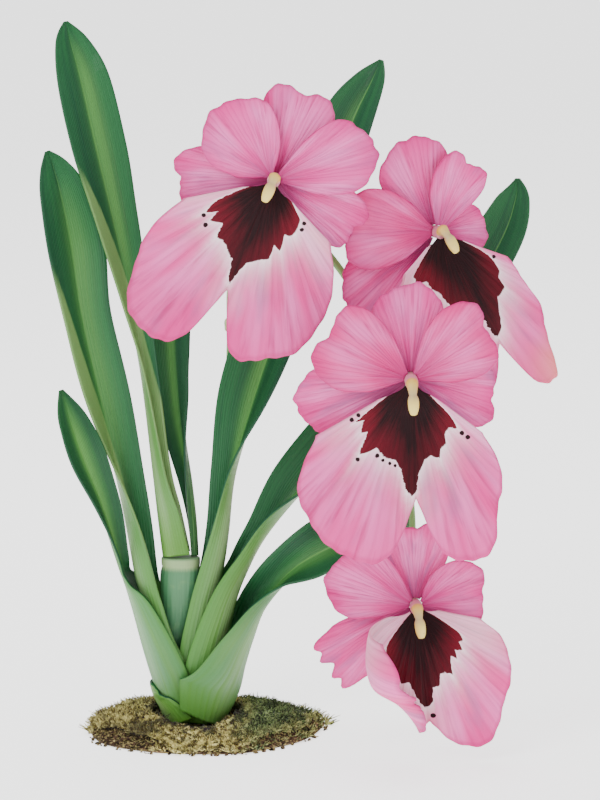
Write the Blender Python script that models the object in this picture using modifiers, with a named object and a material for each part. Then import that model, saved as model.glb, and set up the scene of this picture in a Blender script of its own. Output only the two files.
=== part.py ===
"""Pansy orchid: a leafy plant with one arching spray of four blooms, rooted in a low mound of moss and soil.

Run with: blender --background --python part.py
Metres, +Z up. The origin is the middle of the mound's flat underside. The blooms face -Y.
"""

import math

import bmesh
import bpy
from mathutils import Vector

MM = 0.001
COLLECTION = "pansy_orchid"

# Driving dimensions, in millimetres
CLEAR = 0.3
MOUND_HALF_X = 43.5
MOUND_HALF_Y = 37.0
MOUND_HEIGHT = 5.6
HOLE_CENTRE = (-3.0, 0.0)
HOLE_HALF_X = 16.6
HOLE_HALF_Y = 13.5
HOLE_FLOOR = 1.6
STEM_FOOT = HOLE_FLOOR + CLEAR
LEAF_THICKNESS = 0.8
TEPAL_THICKNESS = 0.7
LIP_THICKNESS = 0.8
STALK_FOOT = (1.0, 19.4)
STALK_HOLE_RADIUS = 2.1
BULB_TOP = 64.8
THROAT_RADIUS = 2.3
CLAW = math.radians(38.0)
STALK_RADIUS = 1.7
PEDICEL_RADIUS = 1.25

# Finishes: colour, roughness, metallic
FINISHES = {
    "soil": ((0.060, 0.036, 0.030), 0.95, 0.0),
    "moss": ((0.420, 0.400, 0.170), 0.95, 0.0),
    "bulb": ((0.120, 0.270, 0.140), 0.45, 0.0),
    "leaf": ((0.030, 0.160, 0.050), 0.42, 0.0),
    "sheath": ((0.200, 0.420, 0.120), 0.50, 0.0),
    "stalk": ((0.240, 0.440, 0.130), 0.45, 0.0),
    "sepal": ((0.800, 0.330, 0.520), 0.60, 0.0),
    "petal": ((0.860, 0.340, 0.560), 0.60, 0.0),
    "lip": ((0.880, 0.840, 0.800), 0.60, 0.0),
    "column": ((0.780, 0.700, 0.330), 0.50, 0.0),
}

# Leaf stations from the foot to the tip, in mm and degrees:
# x, y, z, half width, turn toward the front, fold of each half, rounding at the keel
LEAVES = {
    "leaf_apical_tall": (1.0, (
        (-14.4, 0.0, 65.2, 11.4, 0, 90, 2.8),
        (-16.2, -0.2, 81.0, 9.6, 6, 88, 2.5),
        (-17.8, -0.8, 98.0, 6.8, 22, 80, 1.9),
        (-21.4, -2.5, 134.0, 6.0, 42, 62, 1.9),
        (-25.6, -2.5, 160.0, 6.8, 58, 40, 2.4),
        (-31.6, 1.0, 188.0, 9.3, 66, 30, 3.0),
        (-37.8, 6.0, 214.0, 11.2, 70, 26, 3.4),
        (-43.6, 11.0, 239.0, 10.2, 72, 22, 3.4),
        (-47.6, 14.5, 253.0, 6.2, 72, 18, 3.0),
        (-49.2, 16.0, 260.0, 0.8, 72, 12, 2.0),
    )),
    "leaf_apical_short": (-1.0, (
        (-1.9, 0.8, 65.2, 3.0, 0, 90, 1.1),
        (-2.6, 2.2, 78.0, 3.6, 10, 84, 1.3),
        (-4.4, 4.6, 92.0, 4.8, 30, 66, 1.8),
        (-7.2, 7.0, 108.0, 6.6, 48, 46, 2.2),
        (-9.0, 10.0, 124.0, 8.0, 60, 34, 2.6),
        (-10.2, 13.0, 144.0, 8.8, 64, 28, 3.0),
        (-9.0, 15.5, 160.0, 6.4, 64, 22, 3.0),
        (-7.6, 17.0, 172.0, 0.8, 64, 16, 2.0),
    )),
    "leaf_left_inner": (1.0, (
        (-9.6, 0.0, STEM_FOOT, 11.0, 0, 90, 3.9),
        (-13.6, 0.0, 16.0, 14.5, 0, 90, 6.2),
        (-18.6, 0.0, 33.0, 12.6, 0, 90, 7.2),
        (-22.0, 0.0, 48.0, 11.3, 0, 90, 7.2),
        (-25.0, 0.0, 60.0, 10.5, 6, 86, 5.4),
        (-29.4, 1.6, 88.0, 9.4, 36, 60, 2.8),
        (-36.6, -0.3, 122.0, 11.0, 54, 38, 3.0),
        (-43.2, -3.0, 154.0, 10.8, 60, 32, 3.4),
        (-46.6, -5.0, 180.0, 12.4, 64, 28, 3.8),
        (-50.4, -3.0, 199.0, 9.8, 66, 24, 3.4),
        (-53.2, -1.6, 209.0, 5.6, 66, 20, 3.0),
        (-55.3, -1.0, 214.6, 0.8, 66, 14, 2.0),
    )),
    "leaf_right_upright": (-1.0, (
        (0.4, 0.0, STEM_FOOT, 7.4, 0, 90, 2.4),
        (1.2, 0.0, 16.0, 11.0, 0, 90, 4.5),
        (2.0, 0.0, 28.0, 14.1, 0, 90, 5.9),
        (4.2, 0.0, 46.0, 12.6, 0, 90, 5.9),
        (7.2, 0.0, 60.0, 11.5, 0, 90, 5.6),
        (9.4, 0.0, 76.0, 9.4, 14, 78, 3.8),
        (11.6, 0.4, 97.0, 9.0, 36, 58, 3.0),
        (18.8, 2.5, 123.0, 13.8, 54, 36, 3.6),
        (28.6, 8.0, 152.0, 14.6, 60, 28, 4.0),
        (40.2, 16.0, 186.0, 14.4, 62, 26, 4.2),
        (54.2, 23.0, 221.0, 11.8, 62, 24, 4.0),
        (62.0, 27.5, 237.0, 7.0, 62, 20, 3.4),
        (65.8, 30.0, 245.0, 0.8, 62, 14, 2.0),
    )),
    "leaf_right_leaning": (-1.0, (
        (3.2, 0.0, STEM_FOOT, 13.0, 0, 90, 5.3),
        (6.4, 0.0, 16.0, 18.5, 0, 90, 7.6),
        (8.4, 0.0, 30.0, 18.0, 0, 90, 8.5),
        (12.0, 0.0, 48.0, 14.5, 0, 90, 8.4),
        (16.4, 0.0, 60.0, 11.0, 2, 88, 7.0),
        (23.0, 0.0, 73.0, 9.0, 20, 70, 4.2),
        (36.4, 3.0, 90.0, 12.8, 46, 42, 3.4),
        (56.0, 9.0, 110.0, 14.8, 56, 32, 3.8),
        (78.0, 16.0, 133.0, 14.4, 60, 28, 4.0),
        (97.0, 23.0, 156.0, 11.6, 60, 26, 4.0),
        (110.8, 29.0, 179.0, 10.6, 60, 22, 3.6),
        (115.8, 32.0, 193.0, 7.0, 60, 18, 3.0),
        (116.6, 33.5, 201.0, 0.8, 60, 12, 2.0),
    )),
    "leaf_left_outer": (1.0, (
        (-12.0, 0.0, STEM_FOOT, 14.0, 0, 90, 6.7),
        (-17.4, 0.0, 15.0, 19.0, 0, 90, 9.0),
        (-21.4, 0.0, 28.0, 18.5, 0, 90, 9.8),
        (-25.0, 0.0, 42.0, 15.0, 0, 90, 9.8),
        (-27.6, 0.0, 52.0, 10.6, 0, 90, 9.2),
        (-29.3, -1.2, 58.0, 4.8, 8, 84, 4.6),
        (-31.0, -3.6, 65.0, 4.6, 22, 70, 3.0),
        (-36.4, -8.6, 86.0, 6.6, 46, 44, 2.6),
        (-42.8, -11.4, 104.0, 8.6, 56, 34, 3.0),
        (-47.4, -11.4, 118.0, 6.6, 58, 28, 3.0),
        (-50.6, -11.0, 129.0, 0.8, 58, 16, 2.0),
    )),
    "leaf_right_arching": (-1.0, (
        (7.4, 0.0, STEM_FOOT, 23.6, 0, 90, 10.4),
        (13.0, 0.0, 14.0, 29.6, 0, 90, 12.3),
        (15.4, 0.0, 24.0, 22.5, 0, 90, 12.3),
        (18.4, 0.0, 34.0, 17.5, 0, 90, 11.4),
        (23.0, -0.4, 47.0, 11.5, 14, 78, 7.0),
        (31.4, -3.0, 59.0, 10.0, 36, 52, 4.0),
        (43.6, -6.0, 68.0, 11.8, 50, 34, 3.8),
        (60.0, -6.0, 74.0, 12.6, 54, 26, 4.0),
        (77.0, -4.0, 75.5, 10.6, 54, 22, 4.0),
        (88.0, -3.0, 74.0, 6.4, 52, 18, 3.4),
        (95.0, -2.5, 71.5, 0.8, 50, 12, 2.0),
    )),
    "basal_sheath": (1.0, (
        (-13.6, 0.0, STEM_FOOT, 15.0, 0, 90, 8.0),
        (-16.1, 0.0, 8.0, 13.5, 0, 90, 9.2),
        (-18.3, 0.0, 13.0, 9.5, 0, 90, 10.1),
        (-19.5, 0.0, 17.5, 3.0, 0, 90, 10.4),
    )),
}
LEAF_ROWS = {"basal_sheath": 7, "leaf_apical_short": 15, "leaf_left_outer": 17}

# The arching stalk, from the mound to the last bloom, in mm
STALK_ROUTE = (
    (*STALK_FOOT, STEM_FOOT), (*STALK_FOOT, 14.0), (2.2, 19.2, 22.0), (4.3, 18.6, 36.0), (5.5, 18.4, 62.0),
    (7.5, 18.6, 94.0), (9.4, 17.4, 122.0), (10.4, 11.0, 145.0), (10.9, 1.0, 166.0), (15.7, -8.0, 181.5),
    (26.8, -12.0, 188.8), (38.7, -12.0, 185.5), (50.0, -12.5, 173.5), (60.5, -15.0, 156.0),
    (68.0, -17.5, 134.0), (73.5, -19.0, 108.0), (76.2, -19.0, 86.0), (76.6, -20.0, 71.0),
)

# Blooms: throat in mm, turn to the right and lift in degrees, how far the column nods in mm, then the
# tepals: direction, length, width, sideways bend, edge ripple
# and the lip: aim, then for each lobe its spread and its lengths at nine even bearings from the notch out
BLOOMS = {
    "bloom_1": {
        "throat": (26.8, -46.0, 209.0), "yaw": -4.0, "pitch": 0.0, "seed": 1.0, "stem": (30.0, -12.4, 188.8),
        "nod": 0.0,
        "dorsal_sepal": (69, 33.2, 25.5, 1.0, 0.035),
        "left_petal": (128, 31.2, 29.0, -1.0, 0.045),
        "right_petal": (18, 36.2, 25.5, 1.0, 0.045),
        "left_sepal": (177, 34.6, 21.0, 1.0, 0.04),
        "right_sepal": (-29, 34.2, 20.5, -1.0, 0.04),
        "lip": {"aim": -113, "left": (56, (40.0, 63.0, 68.0, 68.0, 64.0, 58.0, 50.5, 41.5, 31.5)),
                "right": (66, (40.0, 60.0, 63.5, 61.0, 57.5, 52.0, 45.0, 37.5, 29.5))},
    },
    "bloom_2": {
        "throat": (84.5, -30.0, 188.9), "yaw": 20.0, "pitch": 2.0, "seed": 2.3, "stem": (52.0, -13.0, 171.0),
        "nod": 0.5,
        "dorsal_sepal": (111, 34.2, 26.5, -1.0, 0.035),
        "left_petal": (174, 35.0, 28.0, 1.0, 0.045),
        "right_petal": (68, 28.2, 20.5, -1.0, 0.05),
        "left_sepal": (-147, 40.6, 22.0, 1.5, 0.04),
        "right_sepal": (0, 20.6, 17.5, 0.0, 0.04),
        "lip": {"aim": -62, "left": (76, (45.0, 58.0, 54.0, 44.0, 39.5, 36.0, 31.0, 27.0, 21.0)),
                "right": (41, (45.0, 66.0, 68.0, 57.0, 50.5, 45.5, 37.0, 31.0, 26.0))},
    },
    "bloom_3": {
        "throat": (74.2, -62.0, 141.4), "yaw": 2.0, "pitch": 2.0, "seed": 4.1, "stem": (66.0, -17.0, 141.0),
        "nod": 4.0,
        "dorsal_sepal": (91, 32.4, 24.5, 0.5, 0.035),
        "left_petal": (154, 35.0, 29.0, -1.5, 0.045),
        "right_petal": (35, 33.0, 26.0, 1.5, 0.045),
        "left_sepal": (-168, 39.8, 24.0, 1.5, 0.04),
        "right_sepal": (-14, 30.6, 22.5, -1.0, 0.04),
        "lip": {"aim": -88, "left": (63, (41.0, 57.5, 64.0, 65.5, 63.0, 59.5, 54.5, 46.5, 38.5)),
                "right": (52, (41.0, 56.5, 63.5, 66.0, 62.5, 53.5, 47.0, 40.0, 30.0))},
    },
    "bloom_4": {
        "throat": (77.2, -40.0, 55.8), "yaw": 3.0, "pitch": 3.0, "seed": 5.6, "stem": (76.6, -20.0, 71.0),
        "nod": 3.0,
        "dorsal_sepal": (88, 29.0, 22.5, 0.0, 0.035),
        "left_petal": (157, 33.0, 26.5, -1.0, 0.05),
        "right_petal": (13, 25.4, 25.0, 1.0, 0.05),
        "left_sepal": (-147, 39.4, 21.5, 1.5, 0.06),
        "right_sepal": (-32, 29.0, 15.0, -1.0, 0.04),
        "lip": {"aim": -83, "left": (78, (42.5, 45.0, 42.0, 40.0, 41.0, 44.0, 46.0, 44.0, 33.0)),
                "right": (74, (42.5, 50.0, 55.0, 52.0, 46.0, 41.0, 36.5, 31.0, 22.5)), "rolled": True},
    },
}

# Share of a tepal's length at even bearings, from its middle to its side
TEPAL_RIM = ((0.97,), (1.0,), (0.99,), (0.955,), (0.87,), (0.70,), (0.42,))
# Half width of the rolled lobe at even steps along the lip, over ROLL_REACH
ROLL = ((16.5,), (19.5,), (20.8,), (19.0,), (10.5,), (5.5,), (3.5,))
ROLL_REACH = 50.0


# Scene and materials

def clear_scene():
    """Remove every object that the file starts with."""
    for item in list(bpy.data.objects):
        bpy.data.objects.remove(item, do_unlink=True)


def collection(name):
    """Make a collection in the scene."""
    made = bpy.data.collections.new(name)
    bpy.context.scene.collection.children.link(made)
    return made


def material(name, finish):
    """Make a plain material from the table of finishes."""
    colour, roughness, metallic = FINISHES[finish]
    made = bpy.data.materials.new(name)
    made.use_nodes = True
    shader = made.node_tree.nodes["Principled BSDF"]
    shader.inputs["Base Color"].default_value = (*colour, 1.0)
    shader.inputs["Roughness"].default_value = roughness
    shader.inputs["Metallic"].default_value = metallic
    made.diffuse_color = (*colour, 1.0)
    return made


def object_from(bm, name, group, finish, smooth=True):
    """Turn a bmesh into a named object with its own material, its faces pointing out."""
    closed = all(edge.is_manifold for edge in bm.edges)
    if closed and bm.calc_volume(signed=True) < 0.0:
        bmesh.ops.reverse_faces(bm, faces=bm.faces[:])
    mesh = bpy.data.meshes.new(name)
    bm.to_mesh(mesh)
    bm.free()
    made = bpy.data.objects.new(name, mesh)
    group.objects.link(made)
    mesh.materials.append(material(name, finish))
    if smooth:
        mesh.shade_smooth()
    return made


# Small mathematics

def mix(a, b, t):
    """Blend two numbers."""
    return a + (b - a) * t


def ease(t):
    """Smooth step from 0 to 1."""
    t = min(1.0, max(0.0, t))
    return t * t * (3.0 - 2.0 * t)


def spline(rows, t):
    """Smooth value of a table of rows at t from 0 to 1 (Catmull-Rom)."""
    last = len(rows) - 1
    place = min(max(t, 0.0), 1.0) * last
    i = min(int(place), last - 1)
    f = place - i
    before = rows[max(i - 1, 0)]
    start = rows[i]
    end = rows[i + 1]
    after = rows[min(i + 2, last)]
    result = []
    for p0, p1, p2, p3 in zip(before, start, end, after):
        a = 2.0 * p1
        b = p2 - p0
        c = 2.0 * p0 - 5.0 * p1 + 4.0 * p2 - p3
        d = 3.0 * p1 - p0 - 3.0 * p2 + p3
        result.append(0.5 * (a + b * f + c * f * f + d * f * f * f))
    return result


def disc(u, v):
    """Map a square from -1 to 1 onto the unit disc."""
    return u * math.sqrt(1.0 - 0.5 * v * v), v * math.sqrt(1.0 - 0.5 * u * u)


def sheet(name, group, finish, across, along, place, thickness):
    """Bend a grid with place(u, v), split its faces alike, and give it a thickness."""
    bm = bmesh.new()
    bmesh.ops.create_grid(bm, x_segments=across, y_segments=along, size=1.0)
    for vert in bm.verts:
        vert.co = Vector(place(vert.co.x, vert.co.y)) * MM
    bmesh.ops.triangulate(bm, faces=bm.faces[:], quad_method="SHORT_EDGE")
    made = object_from(bm, name, group, finish)
    solid = made.modifiers.new("Thickness", "SOLIDIFY")
    solid.thickness = thickness * MM
    solid.offset = 0.0
    return made


# Leaves

def section(distance, fold, rounding):
    """Sideways and inward run of one half of a folded leaf, at a distance from its keel."""
    turn = rounding * fold
    if distance <= turn:
        angle = distance / rounding
        return rounding * math.sin(angle), rounding * (1.0 - math.cos(angle))
    rest = distance - turn
    out = rounding * math.sin(fold) + rest * math.cos(fold)
    deep = rounding * (1.0 - math.cos(fold)) + rest * math.sin(fold)
    return out, deep


def leaf(name, group, finish="leaf"):
    """A leaf whose foot clasps what stands inside it and whose blade opens toward the tip."""
    side, stations = LEAVES[name]
    phase = sum(ord(letter) for letter in name) % 7
    blade_from = 0.45

    def place(u, v):
        t = 0.5 * (v + 1.0)
        x, y, z, width, turn, fold, rounding = spline(stations, t)
        ahead = spline(stations, min(t + 0.01, 1.0))
        behind = spline(stations, max(t - 0.01, 0.0))
        run = Vector(ahead[:3]) - Vector(behind[:3])
        run.normalize()
        inward = Vector((side, 0.0, 0.0))
        inward -= run * inward.dot(run)
        inward.normalize()
        sideways = Vector((0.0, 1.0, 0.0))
        sideways -= run * sideways.dot(run)
        sideways -= inward * inward.dot(sideways)
        sideways.normalize()
        angle = math.radians(turn)
        face = inward * math.cos(angle) - sideways * math.sin(angle)
        reach = sideways * math.cos(angle) + inward * math.sin(angle)
        size = abs(u)
        share = 0.38 * size + 0.62 * size * size if fold > 70.0 else mix(
            0.38 * size + 0.62 * size * size, size, ease((70.0 - fold) / 35.0))
        width = max(width, 0.7)
        out, deep = section(share * width, math.radians(max(fold, 4.0)), max(rounding, 0.8))
        ripple = 0.0
        if t > blade_from:
            lift = ease((t - blade_from) / 0.2) * ease((1.0 - t) / 0.12)
            ripple = 0.55 * lift * size * size * math.sin(15.0 * t + phase + 2.1 * (u > 0.0))
        point = Vector((x, y, z)) + reach * math.copysign(out, u) + face * (deep + ripple)
        point.z = max(point.z, stations[0][2])
        return point

    rows = LEAF_ROWS.get(name, 19)
    return sheet(name, group, finish, 8, rows, place, LEAF_THICKNESS)


def bulb(group):
    """Flattened green bulb with a blunt ring on top and a thin foot that reaches the hole's floor."""
    rings = (
        (STEM_FOOT, 1.2, 1.0, -5.4), (STEM_FOOT, 1.3, 1.1, -5.4), (15.0, 1.4, 1.2, -7.6),
        (26.0, 2.2, 1.8, -10.2), (35.0, 4.6, 3.0, -10.4), (44.0, 6.4, 4.0, -9.2), (52.0, 7.2, 4.5, -8.6),
        (58.5, 7.35, 4.7, -8.2), (61.2, 6.9, 4.5, -8.1), (62.2, 7.1, 4.6, -8.1), (64.2, 7.1, 4.6, -8.1),
        (BULB_TOP, 6.7, 4.3, -8.1), (BULB_TOP, 5.6, 3.6, -8.1),
    )
    bm = bmesh.new()
    count = len(rings) - 1
    bmesh.ops.create_uvsphere(bm, u_segments=14, v_segments=count, radius=1.0)
    for vert in bm.verts:
        tilt = math.acos(max(-1.0, min(1.0, -vert.co.z))) / math.pi
        step = min(count, round(tilt * count))
        height, half_x, half_y, middle = rings[step]
        turn = math.atan2(vert.co.y, vert.co.x)
        round_off = 0.0 if step in (0, count) else 1.0
        vert.co = Vector((middle + half_x * round_off * math.cos(turn),
                          half_y * round_off * math.sin(turn), height)) * MM
    return object_from(bm, "pseudobulb", group, "bulb")


# Mound and moss

def ground(turn, share):
    """Outline radius factor and height of the mound at a bearing and a share of its radius."""
    edge = 1.0 + 0.030 * math.sin(3 * turn + 0.6) + 0.022 * math.sin(5 * turn + 2.0)
    edge += 0.014 * math.sin(9 * turn) - 0.20 * max(math.sin(turn), 0.0)
    edge += 0.07 * math.exp((math.cos(turn + 0.8) - 1.0) / 0.06)
    edge += 0.07 * math.exp((math.cos(turn + 2.35) - 1.0) / 0.06)
    swell = 1.0 + 0.07 * math.sin(turn + 2.6) * share
    front = 1.0 - 0.48 * math.exp(-(1.0 + math.sin(turn)) / 0.245)
    back = 1.0 - 0.20 * max(math.sin(turn), 0.0)
    height = MOUND_HEIGHT * swell * front * back * (1.0 - share ** 2.6)
    return edge, height


def surface(x, y):
    """Height of the mound's top over a point."""
    turn = math.atan2(y / MOUND_HALF_Y, x / MOUND_HALF_X)
    edge, _ = ground(turn, 0.0)
    share = math.hypot(x / MOUND_HALF_X, y / MOUND_HALF_Y) / edge
    return ground(turn, min(share, 1.0))[1]


def mound(group, cutters):
    """Low round cake of soil with one plain blind hole for the leaf bases and the stalk."""
    bm = bmesh.new()
    bmesh.ops.create_grid(bm, x_segments=20, y_segments=18, size=1.0)
    top = bm.faces[:]
    extruded = bmesh.ops.extrude_face_region(bm, geom=top)
    raised = [item for item in extruded["geom"] if isinstance(item, bmesh.types.BMVert)]
    lifted = set(raised)
    for vert in bm.verts:
        a, b = disc(vert.co.x, vert.co.y)
        share = math.hypot(a, b)
        turn = math.atan2(b, a)
        edge, height = ground(turn, share)
        skirt = 1.6 + 0.5 * math.sin(7 * turn + 1.0)
        level = height + skirt * ease((share - 0.5) / 0.5) * 0.6 if vert in lifted else 0.0
        inset = 1.0 if vert in lifted else 0.97
        vert.co = Vector((a * edge * MOUND_HALF_X * inset, b * edge * MOUND_HALF_Y * inset, level)) * MM
    bmesh.ops.recalc_face_normals(bm, faces=bm.faces[:])
    flat = [face for face in bm.faces if face.normal.z < -0.99]
    inner = [vert for vert in {v for face in flat for v in face.verts}
             if all(face in flat for face in vert.link_faces)]
    bmesh.ops.dissolve_verts(bm, verts=inner)
    bmesh.ops.triangulate(bm, faces=[face for face in bm.faces if face.normal.z > -0.99])
    made = object_from(bm, "soil_mound", group, "soil")

    cut = bmesh.new()
    bmesh.ops.create_cone(cut, cap_ends=True, segments=36, radius1=1.0, radius2=1.0, depth=1.0)
    for vert in cut.verts:
        level = HOLE_FLOOR if vert.co.z < 0.0 else 30.0
        vert.co = Vector((HOLE_CENTRE[0] + HOLE_HALF_X * vert.co.x,
                          HOLE_CENTRE[1] + HOLE_HALF_Y * vert.co.y, level)) * MM
    cutter = object_from(cut, "root_hole", cutters, "soil", smooth=False)
    cutter.hide_render = True
    cutter.display_type = "WIRE"
    hole = made.modifiers.new("Root hole", "BOOLEAN")
    hole.operation = "DIFFERENCE"
    hole.solver = "EXACT"
    hole.object = cutter
    bore(made, cutters)
    return made


def bore(made, cutters):
    """Plain round hole for the stalk's foot."""
    cut = bmesh.new()
    bmesh.ops.create_cone(cut, cap_ends=True, segments=16, radius1=STALK_HOLE_RADIUS,
                          radius2=STALK_HOLE_RADIUS, depth=1.0)
    for vert in cut.verts:
        level = HOLE_FLOOR if vert.co.z < 0.0 else 30.0
        vert.co = Vector((STALK_FOOT[0] + vert.co.x, STALK_FOOT[1] + vert.co.y, level)) * MM
    cutter = object_from(cut, made.name + "_stalk_hole", cutters, "soil", smooth=False)
    cutter.hide_render = True
    cutter.display_type = "WIRE"
    hole = made.modifiers.new("Stalk hole", "BOOLEAN")
    hole.operation = "DIFFERENCE"
    hole.solver = "EXACT"
    hole.object = cutter


def moss(group, cutters):
    """Ring of cushion moss over the mound, lumpy on top, open round the leaf bases and the stalk."""
    around = 54
    loop = 14
    bm = bmesh.new()
    bmesh.ops.create_grid(bm, x_segments=around, y_segments=loop, size=1.0)
    for vert in bm.verts:
        turn = math.pi * vert.co.x
        way = 0.5 * (vert.co.y + 1.0)
        hx = HOLE_CENTRE[0] + (HOLE_HALF_X + 0.1) * math.cos(turn)
        hy = HOLE_CENTRE[1] + (HOLE_HALF_Y + 0.1) * math.sin(turn)
        bearing = math.atan2(hy / MOUND_HALF_Y, hx / MOUND_HALF_X)
        edge, _ = ground(bearing, 0.0)
        rim = 0.90 + 0.045 * math.sin(4 * turn + 1.0) + 0.035 * math.sin(11 * turn + 0.4)
        rim -= 0.10 * math.exp(-((turn + 2.2) / 0.35) ** 2)
        ox = math.cos(bearing) * edge * rim * MOUND_HALF_X
        oy = math.sin(bearing) * edge * rim * MOUND_HALF_Y
        if way <= 0.34:
            share = 1.0 - way / 0.34
            thick = 0.0
        else:
            share = (way - 0.34) / 0.66
            body = (1.0 - min(max(share, 0.0), 1.0) ** 3) ** 0.7
            lump = 0.9 * math.sin(7 * turn + 4.0 * share) + 0.7 * math.sin(13 * turn - 5.0 * share + 1.0)
            lump += 0.5 * math.sin(23 * turn + 9.0 * share)
            thick = 0.0 if way > 0.999 else body * (1.5 + 0.45 * lump) + 0.75
        x = mix(hx, ox, share)
        y = mix(hy, oy, share)
        under = surface(x, y)
        local, _ = ground(math.atan2(y / MOUND_HALF_Y, x / MOUND_HALF_X), 0.0)
        reach = math.hypot(x / MOUND_HALF_X, y / MOUND_HALF_Y) / local
        under += 2.1 * ease((reach - 0.5) / 0.5) * 0.6
        vert.co = Vector((x, y, under + 0.45 + thick)) * MM
    bmesh.ops.remove_doubles(bm, verts=bm.verts[:], dist=0.00001)
    bmesh.ops.triangulate(bm, faces=bm.faces[:])
    bmesh.ops.recalc_face_normals(bm, faces=bm.faces[:])
    made = object_from(bm, "moss", group, "moss")
    bore(made, cutters)
    return made


# Stalk

def tube(name, points, radii, group):
    """Round stem along a smooth route, as a closed mesh."""
    curve = bpy.data.curves.new(name, "CURVE")
    curve.dimensions = "3D"
    curve.bevel_depth = MM
    curve.bevel_resolution = 2
    curve.use_fill_caps = True
    line = curve.splines.new("POLY")
    line.points.add(len(points) - 1)
    for place, point, radius in zip(line.points, points, radii):
        place.co = (*(Vector(point) * MM), 1.0)
        place.radius = radius
    helper = bpy.data.objects.new(name, curve)
    group.objects.link(helper)
    depsgraph = bpy.context.evaluated_depsgraph_get()
    mesh = bpy.data.meshes.new_from_object(helper.evaluated_get(depsgraph))
    bm = bmesh.new()
    bm.from_mesh(mesh)
    bmesh.ops.remove_doubles(bm, verts=bm.verts[:], dist=0.000001)
    bmesh.ops.recalc_face_normals(bm, faces=bm.faces[:])
    bpy.data.objects.remove(helper, do_unlink=True)
    bpy.data.meshes.remove(mesh)
    return bm


def stalk(group, cutters):
    """Arching flower stalk with one short stem to each bloom, all one piece."""
    steps = 34
    points = []
    radii = []
    for i in range(steps + 1):
        t = i / steps
        points.append(spline(STALK_ROUTE, t))
        radii.append(mix(STALK_RADIUS, 1.15, t))
    made = object_from(tube("flower_spike", points, radii, group), "flower_spike", group, "stalk")
    for name, bloom in BLOOMS.items():
        right, up, facing = axes(bloom)
        throat = Vector(bloom["throat"])
        end = throat - facing * (6.0 + CLEAR)
        start = Vector(bloom["stem"])
        last = end - facing * 2.0
        pull = end - facing * 10.0
        path = []
        sizes = []
        for i in range(8):
            t = i / 7.0
            a = start.lerp(pull, t)
            b = pull.lerp(last, t)
            path.append(a.lerp(b, t))
            sizes.append(mix(PEDICEL_RADIUS - 0.15, PEDICEL_RADIUS + 0.55, ease(t)))
        path.append(end)
        sizes.append(sizes[-1])
        stem = object_from(tube(name + "_stem", path, sizes, cutters), name + "_stem", cutters, "stalk")
        stem.hide_render = True
        stem.display_type = "WIRE"
        join = made.modifiers.new(name, "BOOLEAN")
        join.operation = "UNION"
        join.solver = "EXACT"
        join.object = stem
    return made


# Blooms

def axes(bloom):
    """Right, up and facing directions of a bloom."""
    yaw = math.radians(bloom["yaw"])
    pitch = math.radians(bloom["pitch"])
    facing = Vector((math.sin(yaw) * math.cos(pitch), -math.cos(yaw) * math.cos(pitch), math.sin(pitch)))
    right = Vector((math.cos(yaw), math.sin(yaw), 0.0))
    up = facing.cross(right)
    return right, up, facing


def swell(bloom, a, b):
    """Slow waves that every tepal of one bloom shares, so that they nest without touching."""
    seed = bloom["seed"]
    away = math.hypot(a, b)
    wave = 1.3 * math.sin(a / 8.5 + seed) + 1.1 * math.sin(b / 9.5 + 1.7 * seed)
    cup = 0.0016 * min(away, 36.0) ** 2
    return (wave + cup) * ease(away / 16.0)


def tepal(name, part, bloom, layer, lean, group, finish):
    """One petal or sepal: a broad waved fan from the throat."""
    right, up, facing = axes(bloom)
    throat = Vector(bloom["throat"])
    direction, length, width, bend, ripple = bloom[part]
    aim = math.radians(direction)
    seed = bloom["seed"] + direction * 0.05
    start = THROAT_RADIUS + CLEAR + 0.15
    spread = math.asin(0.5 * width / (0.79 * length)) / 0.75
    claw = min(CLAW, 1.6 * spread)
    ragged = 13.0 if ripple > 0.055 else 6.0

    def place(u, v):
        t = 0.5 * (v + 1.0)
        turn = u * mix(claw, spread, ease(t / 0.45))
        rim = spline(TEPAL_RIM, abs(u))[0]
        wave = 0.7 * math.sin(4.5 * u + seed) + 0.5 * math.sin(ragged * 1.4 * u + seed)
        rim *= 1.0 + t ** 4 * ripple * wave
        away = start + (length * rim - start) * t
        along = away * math.cos(turn)
        far = along / length
        side = away * math.sin(turn) + bend * far * far
        q = 2.0 * side / width
        a = along * math.cos(aim) - side * math.sin(aim)
        b = along * math.sin(aim) + side * math.cos(aim)
        c = layer + lean * along + swell(bloom, a, b)
        c += 0.9 * far * far * (q * q - 0.3) + 0.35 * far * math.sin(6.0 * q + 3.0 * far + seed)
        return throat + right * a + up * b + facing * c

    return sheet(name, group, finish, 10, 5, place, TEPAL_THICKNESS)


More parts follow.
